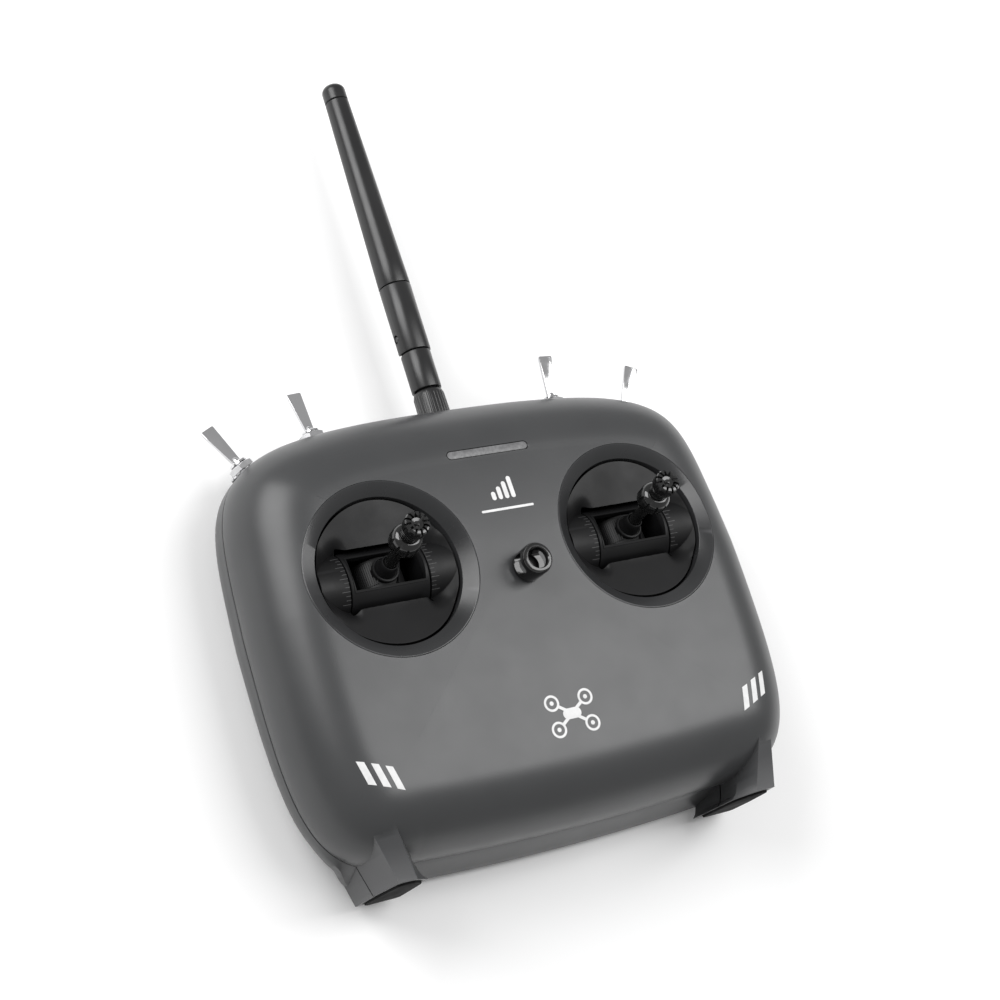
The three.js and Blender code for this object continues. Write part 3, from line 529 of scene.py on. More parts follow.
def footSolid(side, low, high):
    sole, root = -case["sole"], footRings["rootRise"] - case["bottom"]
    bm = bmesh.new()
    face = bm.faces.new([bm.verts.new((side * (foot["x"] + x), sole, z)) for x, z in footRings["sole"]])
    corners = list(face.verts)
    for i in range(1, footRings["steps"] + 1):
        share = i / footRings["steps"] * footRings["reach"]
        made = bmesh.ops.extrude_face_region(bm, geom=[face])
        if i > 1:
            bm.faces.remove(face)
        face = next(f for f in made["geom"] if isinstance(f, bmesh.types.BMFace))
        ring = {v: min(range(6), key=lambda k: (v.co - corners[k].co).length) for v in face.verts}
        for v, k in ring.items():
            (x0, z0), (x1, z1) = footRings["sole"][k], footRings["root"][k]
            flow = share ** footRings["hollow"] if k in (3, 4) else share
            x = foot["x"] + x0 + (x1 - x0) * flow
            v.co = (side * x, sole + (root - sole) * share, z0 + (z1 - z0) * share)
        corners = sorted(face.verts, key=lambda v: ring[v])
    bmesh.ops.recalc_face_normals(bm, faces=bm.faces)
    return combined(bm, [block((-200, 200), (-200, 0), (low, high))], "INTERSECT")


# Rows are functions of a point's y that give (inset, height, drop).
def loft(rows, scaleRows=()):
    bm = bmesh.new()
    count = len(outlineRing)
    made = bmesh.ops.create_circle(bm, cap_ends=False, radius=1.0, segments=count)
    verts = list(made["verts"])
    rowPlaces = []
    for row in rows:
        places = []
        for p, inward in zip(outlineRing, outlineInward):
            inset, height, drop = row(p.y)
            spot = p + inward * inset
            fall = drop * smoothStep(case["bottom"] - 16, case["bottom"] - 2.5, -p.y)
            places.append(Vector((spot.x, spot.y - fall, height)))
        rowPlaces.append(places)
    for share, height in scaleRows:
        last = rowPlaces[len(rows) - 1]
        rowPlaces.append([Vector((p.x * share, p.y * share, height(p))) for p in last])
    for v, spot in zip(verts, rowPlaces[0]):
        v.co = spot
    edges = list({e for v in verts for e in v.link_edges})
    ring = {v: i for i, v in enumerate(verts)}
    firstEdges = edges
    for places in rowPlaces[1:]:
        made = bmesh.ops.extrude_edge_only(bm, edges=edges)
        bm.verts.ensure_lookup_table()
        edges = [e for e in made["geom"] if isinstance(e, bmesh.types.BMEdge)]
        fresh = {}
        newVerts = {v for e in edges for v in e.verts}
        for v in newVerts:
            other = next(e.other_vert(v) for e in v.link_edges if e.other_vert(v) in ring)
            fresh[v] = ring[other]
        for v, i in fresh.items():
            v.co = places[i]
        ring = fresh
    bmesh.ops.contextual_create(bm, geom=firstEdges)
    topCap = bmesh.ops.contextual_create(bm, geom=edges)
    if scaleRows:
        bmesh.ops.poke(bm, faces=topCap["faces"])
    bmesh.ops.recalc_face_normals(bm, faces=bm.faces)
    return bm


def quarter(steps):
    return [math.radians(90) * (i + 1) / steps for i in range(steps)]


def crownHeight(share, shoulder, crown):
    return shoulder + crown * (1 - share * share)


faceShares = [0.975, 0.94, 0.89, 0.82, 0.73, 0.62, 0.5, 0.38, 0.26, 0.15, 0.06]


def frontBody(inset, start, steps):
    shoulder = case["shoulder"] - inset

    def arcRow(angle):
        def row(y):
            centre = max(case["shoulder"] - frontRadius(y), start + 1.2)
            radius = frontRadius(y) - inset
            return (inset + radius * (1 - math.cos(angle)), centre + (shoulder - centre) * math.sin(angle), 0)
        return row

    rim = case["edgeRadius"]
    rows = [lambda y: (inset + rim, start, 0), lambda y: (inset + rim * 0.3, start + rim * 0.3, 0),
            lambda y: (inset, start + rim, 0),
            lambda y: (inset, max(case["shoulder"] - frontRadius(y), start + 1.2), 0)]
    rows += [arcRow(angle) for angle in quarter(steps)]
    scaled = [(s, lambda p, s=s: crownHeight(s, shoulder, case["crown"])) for s in faceShares]
    return loft(rows, scaled)


def rearBody(inset, end, steps):
    def arcRow(angle):
        def row(y):
            radius = max(rearRadius(y) - inset, 1.0)
            height = inset + radius * (1 - math.sin(angle))
            return (inset + radius * (1 - math.cos(angle)), height, case["bottomFlare"])
        return row

    rim = case["edgeRadius"]

    def wallRow(share):
        def row(y):
            start = inset + max(rearRadius(y) - inset, 1.0)
            return (inset, start + (end - rim - start) * share, case["bottomFlare"] * (1 - share))
        return row

    rows = [arcRow(angle) for angle in reversed(quarter(steps))]
    rows += [wallRow(share) for share in (0.0, 0.2, 0.4, 0.6, 0.8, 1.0)]
    rows += [lambda y: (inset + rim * 0.3, end - rim * 0.3, 0), lambda y: (inset + rim, end, 0)]
    return loft(rows)


frontSkin = frontBody(0.0, case["seam"] + case["seamGap"] / 2, case["arcRows"])
frontTree = BVHTree.FromBMesh(frontSkin)
markSkin = frontSkin.copy()


def faceHeight(x, y):
    hit = frontTree.ray_cast(Vector((x, y, 100)), Vector((0, 0, -1)))
    return hit[0].z if hit[0] else case["shoulder"]


gimbalPlaces = {side: middleOf(side + "_gimbal_bezel").x for side in ("left", "right")}
bezelLow, bezelHigh = boxOf("left_gimbal_bezel")
bezel = {
    "radius": (bezelHigh.y - bezelLow.y) / 2,
    "inner": 24.0,
    "low": bezelLow.z,
    "plane": case["shoulder"] - 2.0,
}

# Each switch: its tilt from straight up and the way its lever rests.
switchTilts = {"left_outer": (25, -1), "left_inner": (4, -1), "right_inner": (-4, 1), "right_outer": (-25, 1)}
leverPivot = 3.1
switches = {}
for name, (tilt, stop) in switchTilts.items():
    joint = next(j for j in frame["joints"] if j["name"] == name + "_switch")
    pivot = Vector(joint["pos_m"]) / millimetre
    along = Matrix.Rotation(math.radians(tilt), 4, "Z")
    seat = Matrix.Translation(pivot) @ along @ Matrix.Translation((0, -leverPivot, 0))
    switches[name] = {"seat": seat, "stop": stop}

screwPlaces = [middleOf("shell_screw_%d" % (i + 1)) for i in range(6)]
antennaAxis = middleOf("antenna_mast").z


def switchTools():
    tools = []
    for switch in switches.values():
        seat = switch["seat"]
        tools.append(movedBy(rod(3.3, -14, 12, 48, "y"), seat))
        tools.append(movedBy(spun([(0, 0), (6.1, 0), (6.3, 0.2), (6.3, 8), (0, 8)], 72, "y"), seat))
        tools.append(movedBy(block((-4.05, 4.05), (-11.7, -2.2), (-6.55, 6.55)), seat))
    return tools


def connectorTools():
    top = case["top"]
    centre = (0, 0, antennaAxis)
    return [rod(3.4, top - 14, top + 9, 48, "y", centre),
            rod(4.6, top - 14, top - case["wall"], 48, "y", centre)]


led = {"halfLength": 13.2, "halfWidth": 1.5, "y": middleOf("led_light_bar").y}
loop = {"y": middleOf("lanyard_loop").y}


def makeFrontShell(body):
    seam = case["seam"] + case["seamGap"] / 2
    cavity = frontBody(case["wall"], seam - 1, 8)
    tools = [cavity]
    tools += [rod(bezel["radius"] + 0.12, seam - 1, 60, 160, "z", (x, 0, 0)) for x in gimbalPlaces.values()]
    ledTop = faceHeight(0, led["y"])
    ledSlot = pill(led["halfLength"], led["halfWidth"], (0, led["y"]))
    tools.append(slab(ledSlot, 30, ledTop + 0.3, 0.45, ledTop - 0.22))
    tools += [rod(0.9, 30, 60, 24, "z", (0, loop["y"] + way * 4.3, 0)) for way in (-1, 1)]
    tools.append(spun([(0, 45.2), (0.9, 45.2), (0.9, 60), (0, 60)], 24, "z", (0, loop["y"], 0)))
    tools += switchTools() + connectorTools()
    padTools = [padSolid(side, 0.3, -case["sole"] - 1, -case["sole"] + 1.2) for side in (-1, 1)]
    feet = [footSolid(side, seam, 60) for side in (-1, 1)]
    return cut(join(cut(body, tools), feet), padTools)


def padSolid(side, grow, low, high):
    outline = [((foot["x"] + 1 + (x - 1) * (0.8 + grow / 7)) * side, 21 + (z - 21) * (0.88 + grow / 14))
               for x, z in footRings["sole"]]
    bm = bmesh.new()
    face = bm.faces.new([bm.verts.new((x, low, z)) for x, z in outline])
    made = bmesh.ops.extrude_face_region(bm, geom=[face])
    verts = [v for v in made["geom"] if isinstance(v, bmesh.types.BMVert)]
    bmesh.ops.translate(bm, vec=(0, high - low, 0), verts=verts)
    corners = [e for e in bm.edges if abs(e.verts[0].co.y - e.verts[1].co.y) > 0.1]
    rounded(bm, corners, 2.2, 5)
    bmesh.ops.recalc_face_normals(bm, faces=bm.faces)
    return bm


doorLow, doorHigh = boxOf("battery_door")
cellLow, cellHigh = boxOf("battery_cell_lower")
bay = {"halfWidth": 36.0, "from": cellLow.y - 2.2, "to": boxOf("battery_cell_upper")[1].y + 2.2,
       "depth": cellHigh.z + 2.2, "wall": 1.6}
buttonPlace = middleOf("power_button")
usbLow, usbHigh = boxOf("usb_port")


def makeRearShell():
    end = case["seam"] - case["seamGap"] / 2
    body = rearBody(0.0, end, 12)
    cavity = rearBody(case["wall"], end + 1, 6)
    fit = case["fit"]
    body = join(cut(body, [cavity]), [footSolid(side, 0, end) for side in (-1, 1)])
    bosses = []
    for p in screwPlaces:
        boss = rod(3.6, 0.6, end + 3.5, 32, "z", (p.x, p.y, 0))
        bosses.append(combined(boss, [rearBody(0.0, end + 6, 12)], "INTERSECT"))  # ends at the round back
    bayOuter = block((-bay["halfWidth"] - bay["wall"], bay["halfWidth"] + bay["wall"]),
                     (bay["from"] - bay["wall"], bay["to"] + bay["wall"]), (1.1, bay["depth"] + bay["wall"]))
    body = join(body, [bayOuter, *bosses])
    tools = [block((-bay["halfWidth"], bay["halfWidth"]), (bay["from"], bay["to"]), (-1, bay["depth"]))]
    tools.append(block((doorLow.x - fit, doorHigh.x + fit), (-200, doorHigh.y + fit), (-1, doorHigh.z + fit)))
    for p in screwPlaces:
        tools.append(spun([(0, -1), (4.0, -1), (3.1, 0.7), (3.1, 6.3), (0, 6.3)], 40, "z", (p.x, p.y, 0)))
        tools.append(rod(1.7, 5, 60, 24, "z", (p.x, p.y, 0)))
    tools.append(spun([(0, -1), (6.4, -1), (5.3, 0.6), (5.3, 5), (0, 5)], 72, "z", (0, buttonPlace.y, 0)))
    middle = (usbLow.z + usbHigh.z) / 2
    port = slab(pill(3.15, 1.95, (0, 0)), 0, 12, 0.5, 7.8)
    tools.append(movedBy(port, Matrix.Translation(((usbLow.x + usbHigh.x) / 2, usbHigh.y - 7.4, middle))
                         @ Matrix.Rotation(math.radians(-90), 4, "X")))
    tools += switchTools() + connectorTools()
    tools += [padSolid(side, 0.3, -case["sole"] - 1, -case["sole"] + 1.2) for side in (-1, 1)]
    return cut(body, tools)


finishPiece("frontCase", makeFrontShell(frontSkin), "caseGrey", "root", ["front_shell"], 28)
print("front case made")
finishPiece("rearCase", makeRearShell(), "caseGrey", "root", ["rear_shell"], 28)
print("rear case made")


# painted marks: thin solids whose tops follow the domed face
marks = {
    "lift": 0.06,
    "sink": 1.2,
    "barWidth": 1.5,
    "barPitch": 2.3,
    "iconY": 16.4,
    "lineY": 12.4,
    "lineHalf": 9.0,
    "glyphY": -55.5,
    "glyphReach": (6.0, 4.2),
    "rotorRing": 2.6,
    "rotorLine": 0.75,
}
raisedTool = movedBy(markSkin, Matrix.Translation((0, 0, marks["lift"])))


def ringSlab(outer, inner, x, y, low, high, steps=40):
    return spun([(inner, low), (outer, low), (outer, high), (inner, high)], steps, "z", (x, y, 0), True)


def bar(start, end, width, low, high):
    along = Vector(end) - Vector(start)
    half = along.length / 2
    middle = (Vector(start) + Vector(end)) / 2
    shape = slab(pill(half, width / 2, (0, 0), 8), low, high)
    turn = Matrix.Rotation(math.atan2(along.y, along.x), 4, "Z")
    return movedBy(shape, Matrix.Translation((middle.x, middle.y, 0)) @ turn)


def laidOnFace(name, *shapes):
    whole = shapes[0] if len(shapes) == 1 else join(shapes[0], shapes[1:])
    return finishPiece(name, combined(whole, [raisedTool.copy()], "INTERSECT"), "markingPaint", "root")


def makeMarks():
    low, high = case["shoulder"] - marks["sink"], case["shoulder"] + 6
    for i in range(4):
        x, y = (i - 1.5) * marks["barPitch"], marks["iconY"]
        shape = bar((x, y), (x, y + 1.4 + 1.5 * i), marks["barWidth"], low, high)
        laidOnFace("signalBar%d" % (i + 1), shape)
    end, y = marks["lineHalf"], marks["lineY"]
    laidOnFace("signalLine", bar((-end, y), (end, y), 0.8, low, high))
    across, up = marks["glyphReach"]
    y, ring = marks["glyphY"], marks["rotorRing"]
    shapes = [slab(pill(1.5, 1.7, (0, y), 10), low, high)]
    for sx in (-1, 1):
        for sy in (-1, 1):
            centre = (sx * across, y + sy * up)
            reach = Vector((sx * across, sy * up))
            tip = reach - reach.normalized() * (ring - 0.2)
            shapes.append(bar((0, y), (tip.x, y + tip.y), 1.0, low, high))
            shapes.append(ringSlab(ring, ring - marks["rotorLine"], *centre, low, high))
            shapes.append(rod(0.7, low, high, 20, "z", (*centre, 0)))
    laidOnFace("aircraftGlyph", *shapes)


stripe = {"step": (-4.05, -1.65), "corners": ((72.9, -55.2), (70.7, -56.0), (68.8, -63.5), (71.1, -62.6))}


def makeStripes():
    for side, name in ((-1, "left"), (1, "right")):
        for i in range(3):
            dx, dy = stripe["step"][0] * i, stripe["step"][1] * i
            outline = [(side * (x + dx), y + dy) for x, y in stripe["corners"]]
            shape = slab(outline, case["shoulder"] - 5, case["shoulder"] + 6)
            laidOnFace("%sStripe%d" % (name, i + 1), shape)


makeMarks()
makeStripes()
raisedTool.free()
print("marks laid on the face")


# gimbals: a conical ring, a housing with two cheeks, a tipping drum and the rocker that holds the stick
gimbal = {
    "pivot": 31.0,
    "drumRadius": 11.0,
    "drumHalf": 13.3,
    "drumWall": 1.8,
    "windowHalf": (11.6, 5.3),
    "windowLip": 0.7,
    "housingRadius": 23.5,
    "housingLow": 9.0,
    "plateRim": 42.5,
    "plateLow": 39.8,
    "plateEdge": 9.65,
    "plateSlope": 0.2,
    "funnelLow": 36.0,
    "funnelFrom": 16.5,
    "funnelSlope": 0.86,
    "throatRadius": 13.06,
    "plateRadii": (23.2, 22.6, 22, 21, 20, 19, 18, 17, 16, 15, 13.5, 12, 10.5, 9, 6),
    "cheek": ((0, 12), (10.8, 12), (10.8, 13.75), (10.9, 13.75), (11, 13.9), (11, 22.9), (0, 22.9)),
    "lean": 7.5,
    "rockerRadius": 8.6,
    "rockerHalf": 5.0,
    "tickStep": 7.0,
    "ticksEachWay": 6,
}


def makeBezel(side, x):
    r, inner, low, plane = bezel["radius"], bezel["inner"], bezel["low"], bezel["plane"]
    profile = [(inner, low), (r, low), (r, plane + 0.6), (r, plane + 2.9), (r - 0.12, plane + 2.96),
               (r - 0.35, plane + 2.99), (inner + 0.2, plane + 0.1), (inner + 0.06, plane - 0.02),
               (inner, plane - 0.2)]
    bm = spun(profile, 160, "z", (x, 0, 0), True)
    for v in bm.verts:
        out = math.hypot(v.co.x - x, v.co.y)
        if out > r - 0.5 and v.co.z > plane + 1:
            offset = v.co.z - (plane + 3.0)
            v.co.z = faceHeight(v.co.x, v.co.y) + offset + 0.06
    return finishPiece(side + "BezelRing", bm, "bezelGrey", "root", [side + "_gimbal_bezel"], 24)


# The cover plates slope down to the drum; towards the cheeks they turn into a steeper funnel.
def plateHeight(x, y):
    g = gimbal
    out = math.hypot(x, y)
    flat = g["plateLow"] + max(abs(y) - g["plateEdge"], 0) * g["plateSlope"]
    funnel = g["funnelLow"] + max(out - g["funnelFrom"], 0) * g["funnelSlope"]
    share = (1 - smoothStep(8, 14, abs(y))) * smoothStep(11, 14, abs(x))
    return flat + (funnel - flat) * share


def makeHousing(side, x):
    g = gimbal
    outer, rim = g["housingRadius"], g["plateRim"]
    pivot = (0, 0, g["pivot"])
    low, throat = g["housingLow"], g["throatRadius"]
    plate = [(r, rim) for r in g["plateRadii"]]
    profile = [(0, low), (outer - 3, low), (outer, low + 3), (outer, rim - 3.2), *plate, (0, rim)]
    body = spun(profile, 144)
    for v in body.verts:
        if v.co.z > rim - 0.01:
            v.co.z = min(plateHeight(v.co.x, v.co.y), rim)
    room = g["drumHalf"] + 0.44
    opening = combined(rod(throat, -room, room, 128, "x", pivot), [rod(22.4, 16, 60, 96)], "INTERSECT")
    body = cut(body, [opening])
    turned = Matrix.Translation(pivot) @ Matrix.Rotation(math.pi, 4, "Z")
    body = join(body, [spun(g["cheek"], 96, "x", pivot), movedBy(spun(g["cheek"], 96, "x"), turned)])
    room = g["drumHalf"] + 0.4
    body = cut(body, [rod(throat, -room, room, 128, "x", pivot), rod(2.5, -18, 18, 32, "x", pivot)])
    movedBy(body, Matrix.Translation((x, 0, 0)))
    return finishPiece(side + "GimbalHousing", body, "mattBlack", "root", [side + "_gimbal_housing"], 26)


def makeScale(side, x):
    g = gimbal
    bars = []
    for way in (-1, 1):
        for i in range(-g["ticksEachWay"], g["ticksEachWay"] + 1):
            length = 2.7 if i % 3 == 0 else 1.5
            spans = sorted((way * (g["drumHalf"] + 0.5), way * (g["drumHalf"] + 0.5 + length)))
            tick = block(spans, (-0.08, 0.08), (g["drumRadius"] - 0.05, g["drumRadius"] + 0.03))
            bars.append(movedBy(tick, Matrix.Translation((x, 0, g["pivot"]))
                                @ Matrix.Rotation(math.radians(i * g["tickStep"]), 4, "X")))
    return finishPiece(side + "GimbalScale", joined(*bars), "scalePaint", "root")


def leaning(x):
    pivot, turn = gimbal["pivot"], Matrix.Rotation(math.radians(-gimbal["lean"]), 4, "X")
    return Matrix.Translation((x, 0, pivot)) @ turn @ Matrix.Translation((0, 0, -pivot))


def makeDrum(side, x):
    g = gimbal
    half, r, pivot = g["drumHalf"], g["drumRadius"], (0, 0, g["pivot"])
    body = spun([(0, -half), (r - 0.35, -half), (r - 0.1, -half + 0.1), (r, -half + 0.35), (r, half - 0.35),
                 (r - 0.1, half - 0.1), (r - 0.35, half), (0, half)], 128, "x", pivot)
    long, wide = g["windowHalf"]
    lip = g["windowLip"]
    frameRing = combined(rod(r + 0.22, -long - lip, long + lip, 128, "x", pivot),
                         [block((-40, 40), (-wide - lip, wide + lip), (38, 60))], "INTERSECT")
    body = join(body, [frameRing])
    inner = r - g["drumWall"]
    outline = [(long, -wide), (long, wide), (-long, wide), (-long, -wide)]
    window = slab(outline, g["pivot"], 43, 1.0, 40.4)
    tools = [rod(inner, -half + 1.5, half - 1.5, 64, "x", pivot),
             block((-half - 1, half + 1), (-r - 1, r + 1), (g["pivot"] - r - 1, g["pivot"] - 3)), window]
    body = cut(body, tools)
    axles = [rod(2.2, half - 1, half + 4, 32, "x", pivot), rod(2.2, -half - 4, -half + 1, 32, "x", pivot)]
    for way in (-1, 1):
        spans = sorted((way * (wide + 0.6), way * (inner + 0.4)))
        axles.append(block((-4.5, 4.5), spans, (g["pivot"] - 3, g["pivot"] + 3)))
    body = cut(join(body, axles), [rod(2.5, -r + 2, r - 2, 32, "y", pivot)])
    bevelEdges(body, 0.08, 1, 60)
    return finishPiece(side + "GimbalDrum", movedBy(body, leaning(x)), "mattBlack", side + "_drum",
                       [side + "_gimbal_drum"], 28)


def makeRocker(side, x):
    g = gimbal
    r, half, pivot = g["rockerRadius"], g["rockerHalf"], (0, 0, g["pivot"])
    body = combined(spun([(0, -half), (r - 0.3, -half), (r, -half + 0.3), (r, half - 0.3), (r - 0.3, half),
                          (0, half)], 96, "y", pivot), [block((-40, 40), (-40, 40), (g["pivot"] - 3.5, 60))],
                    "INTERSECT")
    ribs = []
    for i in range(10):
        rib = block((-0.17, 0.17), (-half + 1.3, half - 1.3), (r - 0.4, r + 0.45))
        turn = Matrix.Rotation(math.radians(-60 + 4.2 * i), 4, "Y")
        ribs.append(movedBy(rib, Matrix.Translation(pivot) @ turn))
    frameBar = movedBy(block((-0.3, 0.3), (-half - 0.6, half + 0.6), (r - 1, r + 0.3)),
                       Matrix.Translation(pivot) @ Matrix.Rotation(math.radians(38), 4, "Y")
                       @ Matrix.Rotation(math.radians(-32), 4, "Z"))
    frameBar = combined(frameBar, [block((-40, 40), (-half, half), (20, 60))], "INTERSECT")
    axle = rod(2.2, -8, 8, 32, "y", pivot)
    top = g["pivot"] + r
    socket = spun([(0, g["pivot"]), (4.3, g["pivot"]), (4.3, top + 0.9), (4.15, top + 1.15),
                   (3.75, top + 1.2), (3.6, top + 0.8), (3.4, top + 0.8), (3.2, top + 2.0),
                   (2.9, top + 3.4), (2.7, top + 5.2), (2.5, top + 5.5), (0, top + 5.5)], 64)
    body = join(body, ribs + [frameBar, axle, socket])
    body = cut(body, [rod(2.3, g["pivot"] + 4, 60, 40)])
    return finishPiece(side + "GimbalRocker", movedBy(body, leaning(x)), "mattBlack", side + "_stick",
                       [side + "_gimbal_rocker"], 30)


stick = {
    "shaft": 2.0,
    "shaftFrom": 35.3,
    "top": 71.0,
    "collar": 5.0,
    "collarFrom": 56.0,
    "collarHeight": 7.0,
    "flutes": 10,
    "teeth": 12,
    "tip": 4.0,
}


def makeStick(side, x):
    s = stick
    lean = leaning(x)
    shaft = spun([(0, s["shaftFrom"]), (s["shaft"], s["shaftFrom"]), (s["shaft"], s["top"] - 3.4),
                  (s["shaft"] - 0.3, s["top"] - 3), (0, s["top"] - 3)], 40)
    finishPiece(side + "StickShaft", movedBy(shaft, lean), "glossBlack", side + "_stick",
                [side + "_stick_shaft"], 30)
    low, r = s["collarFrom"], s["collar"]
    high = low + s["collarHeight"]
    collar = spun([(2.3, low), (3.2, low), (3.9, low + 0.2), (4.6, low + 0.8), (r, low + 1.7),
                   (r, high - 2.4), (4.8, high - 1.5), (4.3, high - 0.7), (3.6, high - 0.15),
                   (3.1, high), (2.3, high)], 80, "z", (0, 0, 0), True)
    flutes = []
    for i in range(s["flutes"]):
        angle = math.tau * i / s["flutes"]
        flutes.append(rod(0.62, low - 1, high + 1, 20, "z",
                          ((r + 0.28) * math.cos(angle), (r + 0.28) * math.sin(angle), 0)))
    collar = cut(collar, flutes)
    bevelEdges(collar, 0.08, 1, 30)
    finishPiece(side + "StickCollar", movedBy(collar, lean), "glossBlack", side + "_stick",
                [side + "_stick_collar"], 26)
    low, top, r = high + 0.3, s["top"], s["tip"]
    tip = spun([(0, low), (2.9, low), (3.1, low + 0.3), (3.0, low + 1.6), (3.2, low + 2.6),
                (r - 0.15, low + 3.6), (r, low + 4.2), (r, top - 0.7), (r - 0.3, top - 0.2),
                (r - 0.8, top), (2.3, top), (1.9, top - 0.8), (0.9, top - 1.0), (0.6, top - 0.4),
                (0, top - 0.3)], 96)
    notches = []
    for i in range(s["teeth"]):
        notch = block((-0.36, 0.36), (1.9, 6), (top - 1.5, top + 1))
        notches.append(movedBy(notch, Matrix.Rotation(math.tau * i / s["teeth"], 4, "Z")))
    tip = cut(tip, notches + [rod(s["shaft"] + 0.3, low - 1, top - 2.7, 40)])
    bevelEdges(tip, 0.07, 1, 40)
    finishPiece(side + "StickTip", movedBy(tip, lean), "glossBlack", side + "_stick",
                [side + "_stick_tip"], 26)


for side, x in gimbalPlaces.items():
    makeBezel(side, x)
    makeHousing(side, x)
    makeScale(side, x)
    makeDrum(side, x)
    makeRocker(side, x)
    makeStick(side, x)
print("gimbals and sticks made")

# toggle switches, in their own frame: the axis is +Y and the blade's flat faces look along Z
toggle = {
    "bushing": 3.0,
    "bushingLength": 4.6,
    "threadPitch": 0.55,
    "threadDepth": 0.22,
    "can": (3.75, 9.5, 6.25),
    "washer": 5.2,
    "washerThickness": 0.6,
    "washerTeeth": 18,
    "nutAcross": 8.0,
    "nutThickness": 2.0,
    "leverFrom": 4.0,
    "leverLength": 15.0,
    "leverRoot": 1.4,
    "leverTip": 2.5,
    "leverHalfThick": 0.65,
    "leverThrow": 9.5,
}


def makeSwitchCase(name, node, seat):
    t = toggle
    below = -case["wall"] - 0.3
    wide, tall, deep = t["can"]
    can = block((-wide, wide), (below - tall, below), (-deep, deep))
    bevelEdges(can, 0.4, 2)
    thread = []
    count = int((t["bushingLength"] + 2.0) / t["threadPitch"])
    for i in range(count):
        y = below + 0.4 + t["threadPitch"] * i
        thread += [(t["bushing"] - t["threadDepth"], y), (t["bushing"], y + t["threadPitch"] / 2)]
    end = t["bushingLength"]
    bushing = spun([(0, below - 1), (t["bushing"], below - 1), *thread, (t["bushing"] - 0.15, end - 0.3),
                    (t["bushing"] - 0.5, end), (0, end)], 48, "y")
    throat = spun([(0, 0.7), (1.9, 0.7), (2.3, end - 0.2), (2.45, end + 0.2), (2.45, end + 1),
                   (0, end + 1)], 40, "y")
    under = below - tall
    pins = [block((-0.4, 0.4), (under - 2.6, under + 0.5), (z - 1.0, z + 1.0)) for z in (-4, 0, 4)]
    body = cut(join(can, [bushing, *pins]), [throat])
    return finishPiece(name + "Case", movedBy(body, seat), "chrome", "root", [node + "_case"], 34)


def makeWasher(name, node, seat):
    t = toggle
    low, high = 0.3, 0.3 + t["washerThickness"]
    r = t["washer"]
    body = spun([(3.3, low), (r - 0.1, low), (r, low + 0.1), (r, high - 0.12), (r - 0.15, high),
                 (3.3, high)], 96, "y", (0, 0, 0), True)
    notches = []
    for i in range(t["washerTeeth"]):
        notch = block((-0.28, 0.28), (low - 0.1, high + 0.2), (r - 0.85, r + 1))
        notches.append(movedBy(notch, Matrix.Rotation(math.tau * i / t["washerTeeth"], 4, "Y")))
    body = cut(body, notches)
    return finishPiece(name + "Washer", movedBy(body, seat), "chrome", "root", [node + "_washer"], 30)


def makeNut(name, node, seat):
    t = toggle
    low = 0.6 + t["washerThickness"]
    high = low + t["nutThickness"]
    flat = t["nutAcross"] / 2
    hexagon = rod(flat / math.cos(math.radians(30)), low, high, 6, "y")
    rounding = spun([(0, low), (flat + 0.15, low), (flat + 0.62, low + 0.3), (flat + 0.62, high - 0.55),
                     (flat - 0.1, high), (0, high)], 72, "y")
    body = combined(hexagon, [rounding], "INTERSECT")
    bore = spun([(0, 0), (3.3, 0), (3.3, high - 0.3), (3.6, high + 0.1), (0, high + 0.1)], 48, "y")
    body = cut(body, [bore])
    bevelEdges(body, 0.07, 1, 40)
    return finishPiece(name + "Nut", movedBy(body, seat), "chrome", "root", [node + "_nut"], 30)


def makeLever(name, node, seat, stop):
    t = toggle
    low, high = t["leverFrom"], t["leverFrom"] + t["leverLength"]
    root, tip, thick = t["leverRoot"], t["leverTip"], t["leverHalfThick"]
    outline = [(-root, low), (root, low), (tip, high - 0.4), (tip - 0.3, high), (-tip + 0.3, high),
               (-tip, high - 0.4)]
    blade = slab(outline, -thick, thick)
    bevelEdges(blade, 0.16, 2, 25)
    stem = spun([(0, 1.5), (0.9, 1.7), (1.35, 2.3), (1.5, 3.1), (1.35, 3.9), (1.25, 4.3), (1.25, 5.2),
                 (0.9, 6.0), (0.45, 6.4), (0, 6.5)], 36, "y")
    body = join(blade, [stem])
    pivot = Matrix.Translation((0, leverPivot, 0))
    tilt = pivot @ Matrix.Rotation(math.radians(stop * t["leverThrow"]), 4, "X") @ pivot.inverted()
    return finishPiece(name + "Lever", movedBy(body, seat @ tilt), "chrome",
                       node.replace("switch", "lever"), [node + "_lever"], 30)


for key, spot in switches.items():
    side, which = key.split("_")
    name, node = side + which.capitalize() + "Switch", key + "_switch"
    makeSwitchCase(name, node, spot["seat"])
    makeWasher(name, node, spot["seat"])
    makeNut(name, node, spot["seat"])
    makeLever(name, node, spot["seat"], spot["stop"])
print("switches made")

# antenna
antenna = {
    "axis": antennaAxis,
    "nutFrom": boxOf("antenna_coupling_nut")[0].y,
    "nutTo": boxOf("antenna_coupling_nut")[1].y,
    "nutRadius": 5.4,
    "knurls": 30,
    "lowerTo": boxOf("antenna_upper_barrel")[0].y - 0.3,
    "lowerRadius": 5.1,
    "pinY": middleOf("antenna_hinge_pin").y,
    "pinRadius": 1.2,
    "pinHalf": 5.2,
    "tongueHalf": 2.0,
    "tongueRadius": 3.6,
    "upperTo": boxOf("antenna_upper_barrel")[1].y,
    "radius": 5.45,
    "mastTo": boxOf("antenna_mast")[1].y,
    "tip": 4.1,
    "top": boxOf("antenna_tip_cap")[1].y,
}


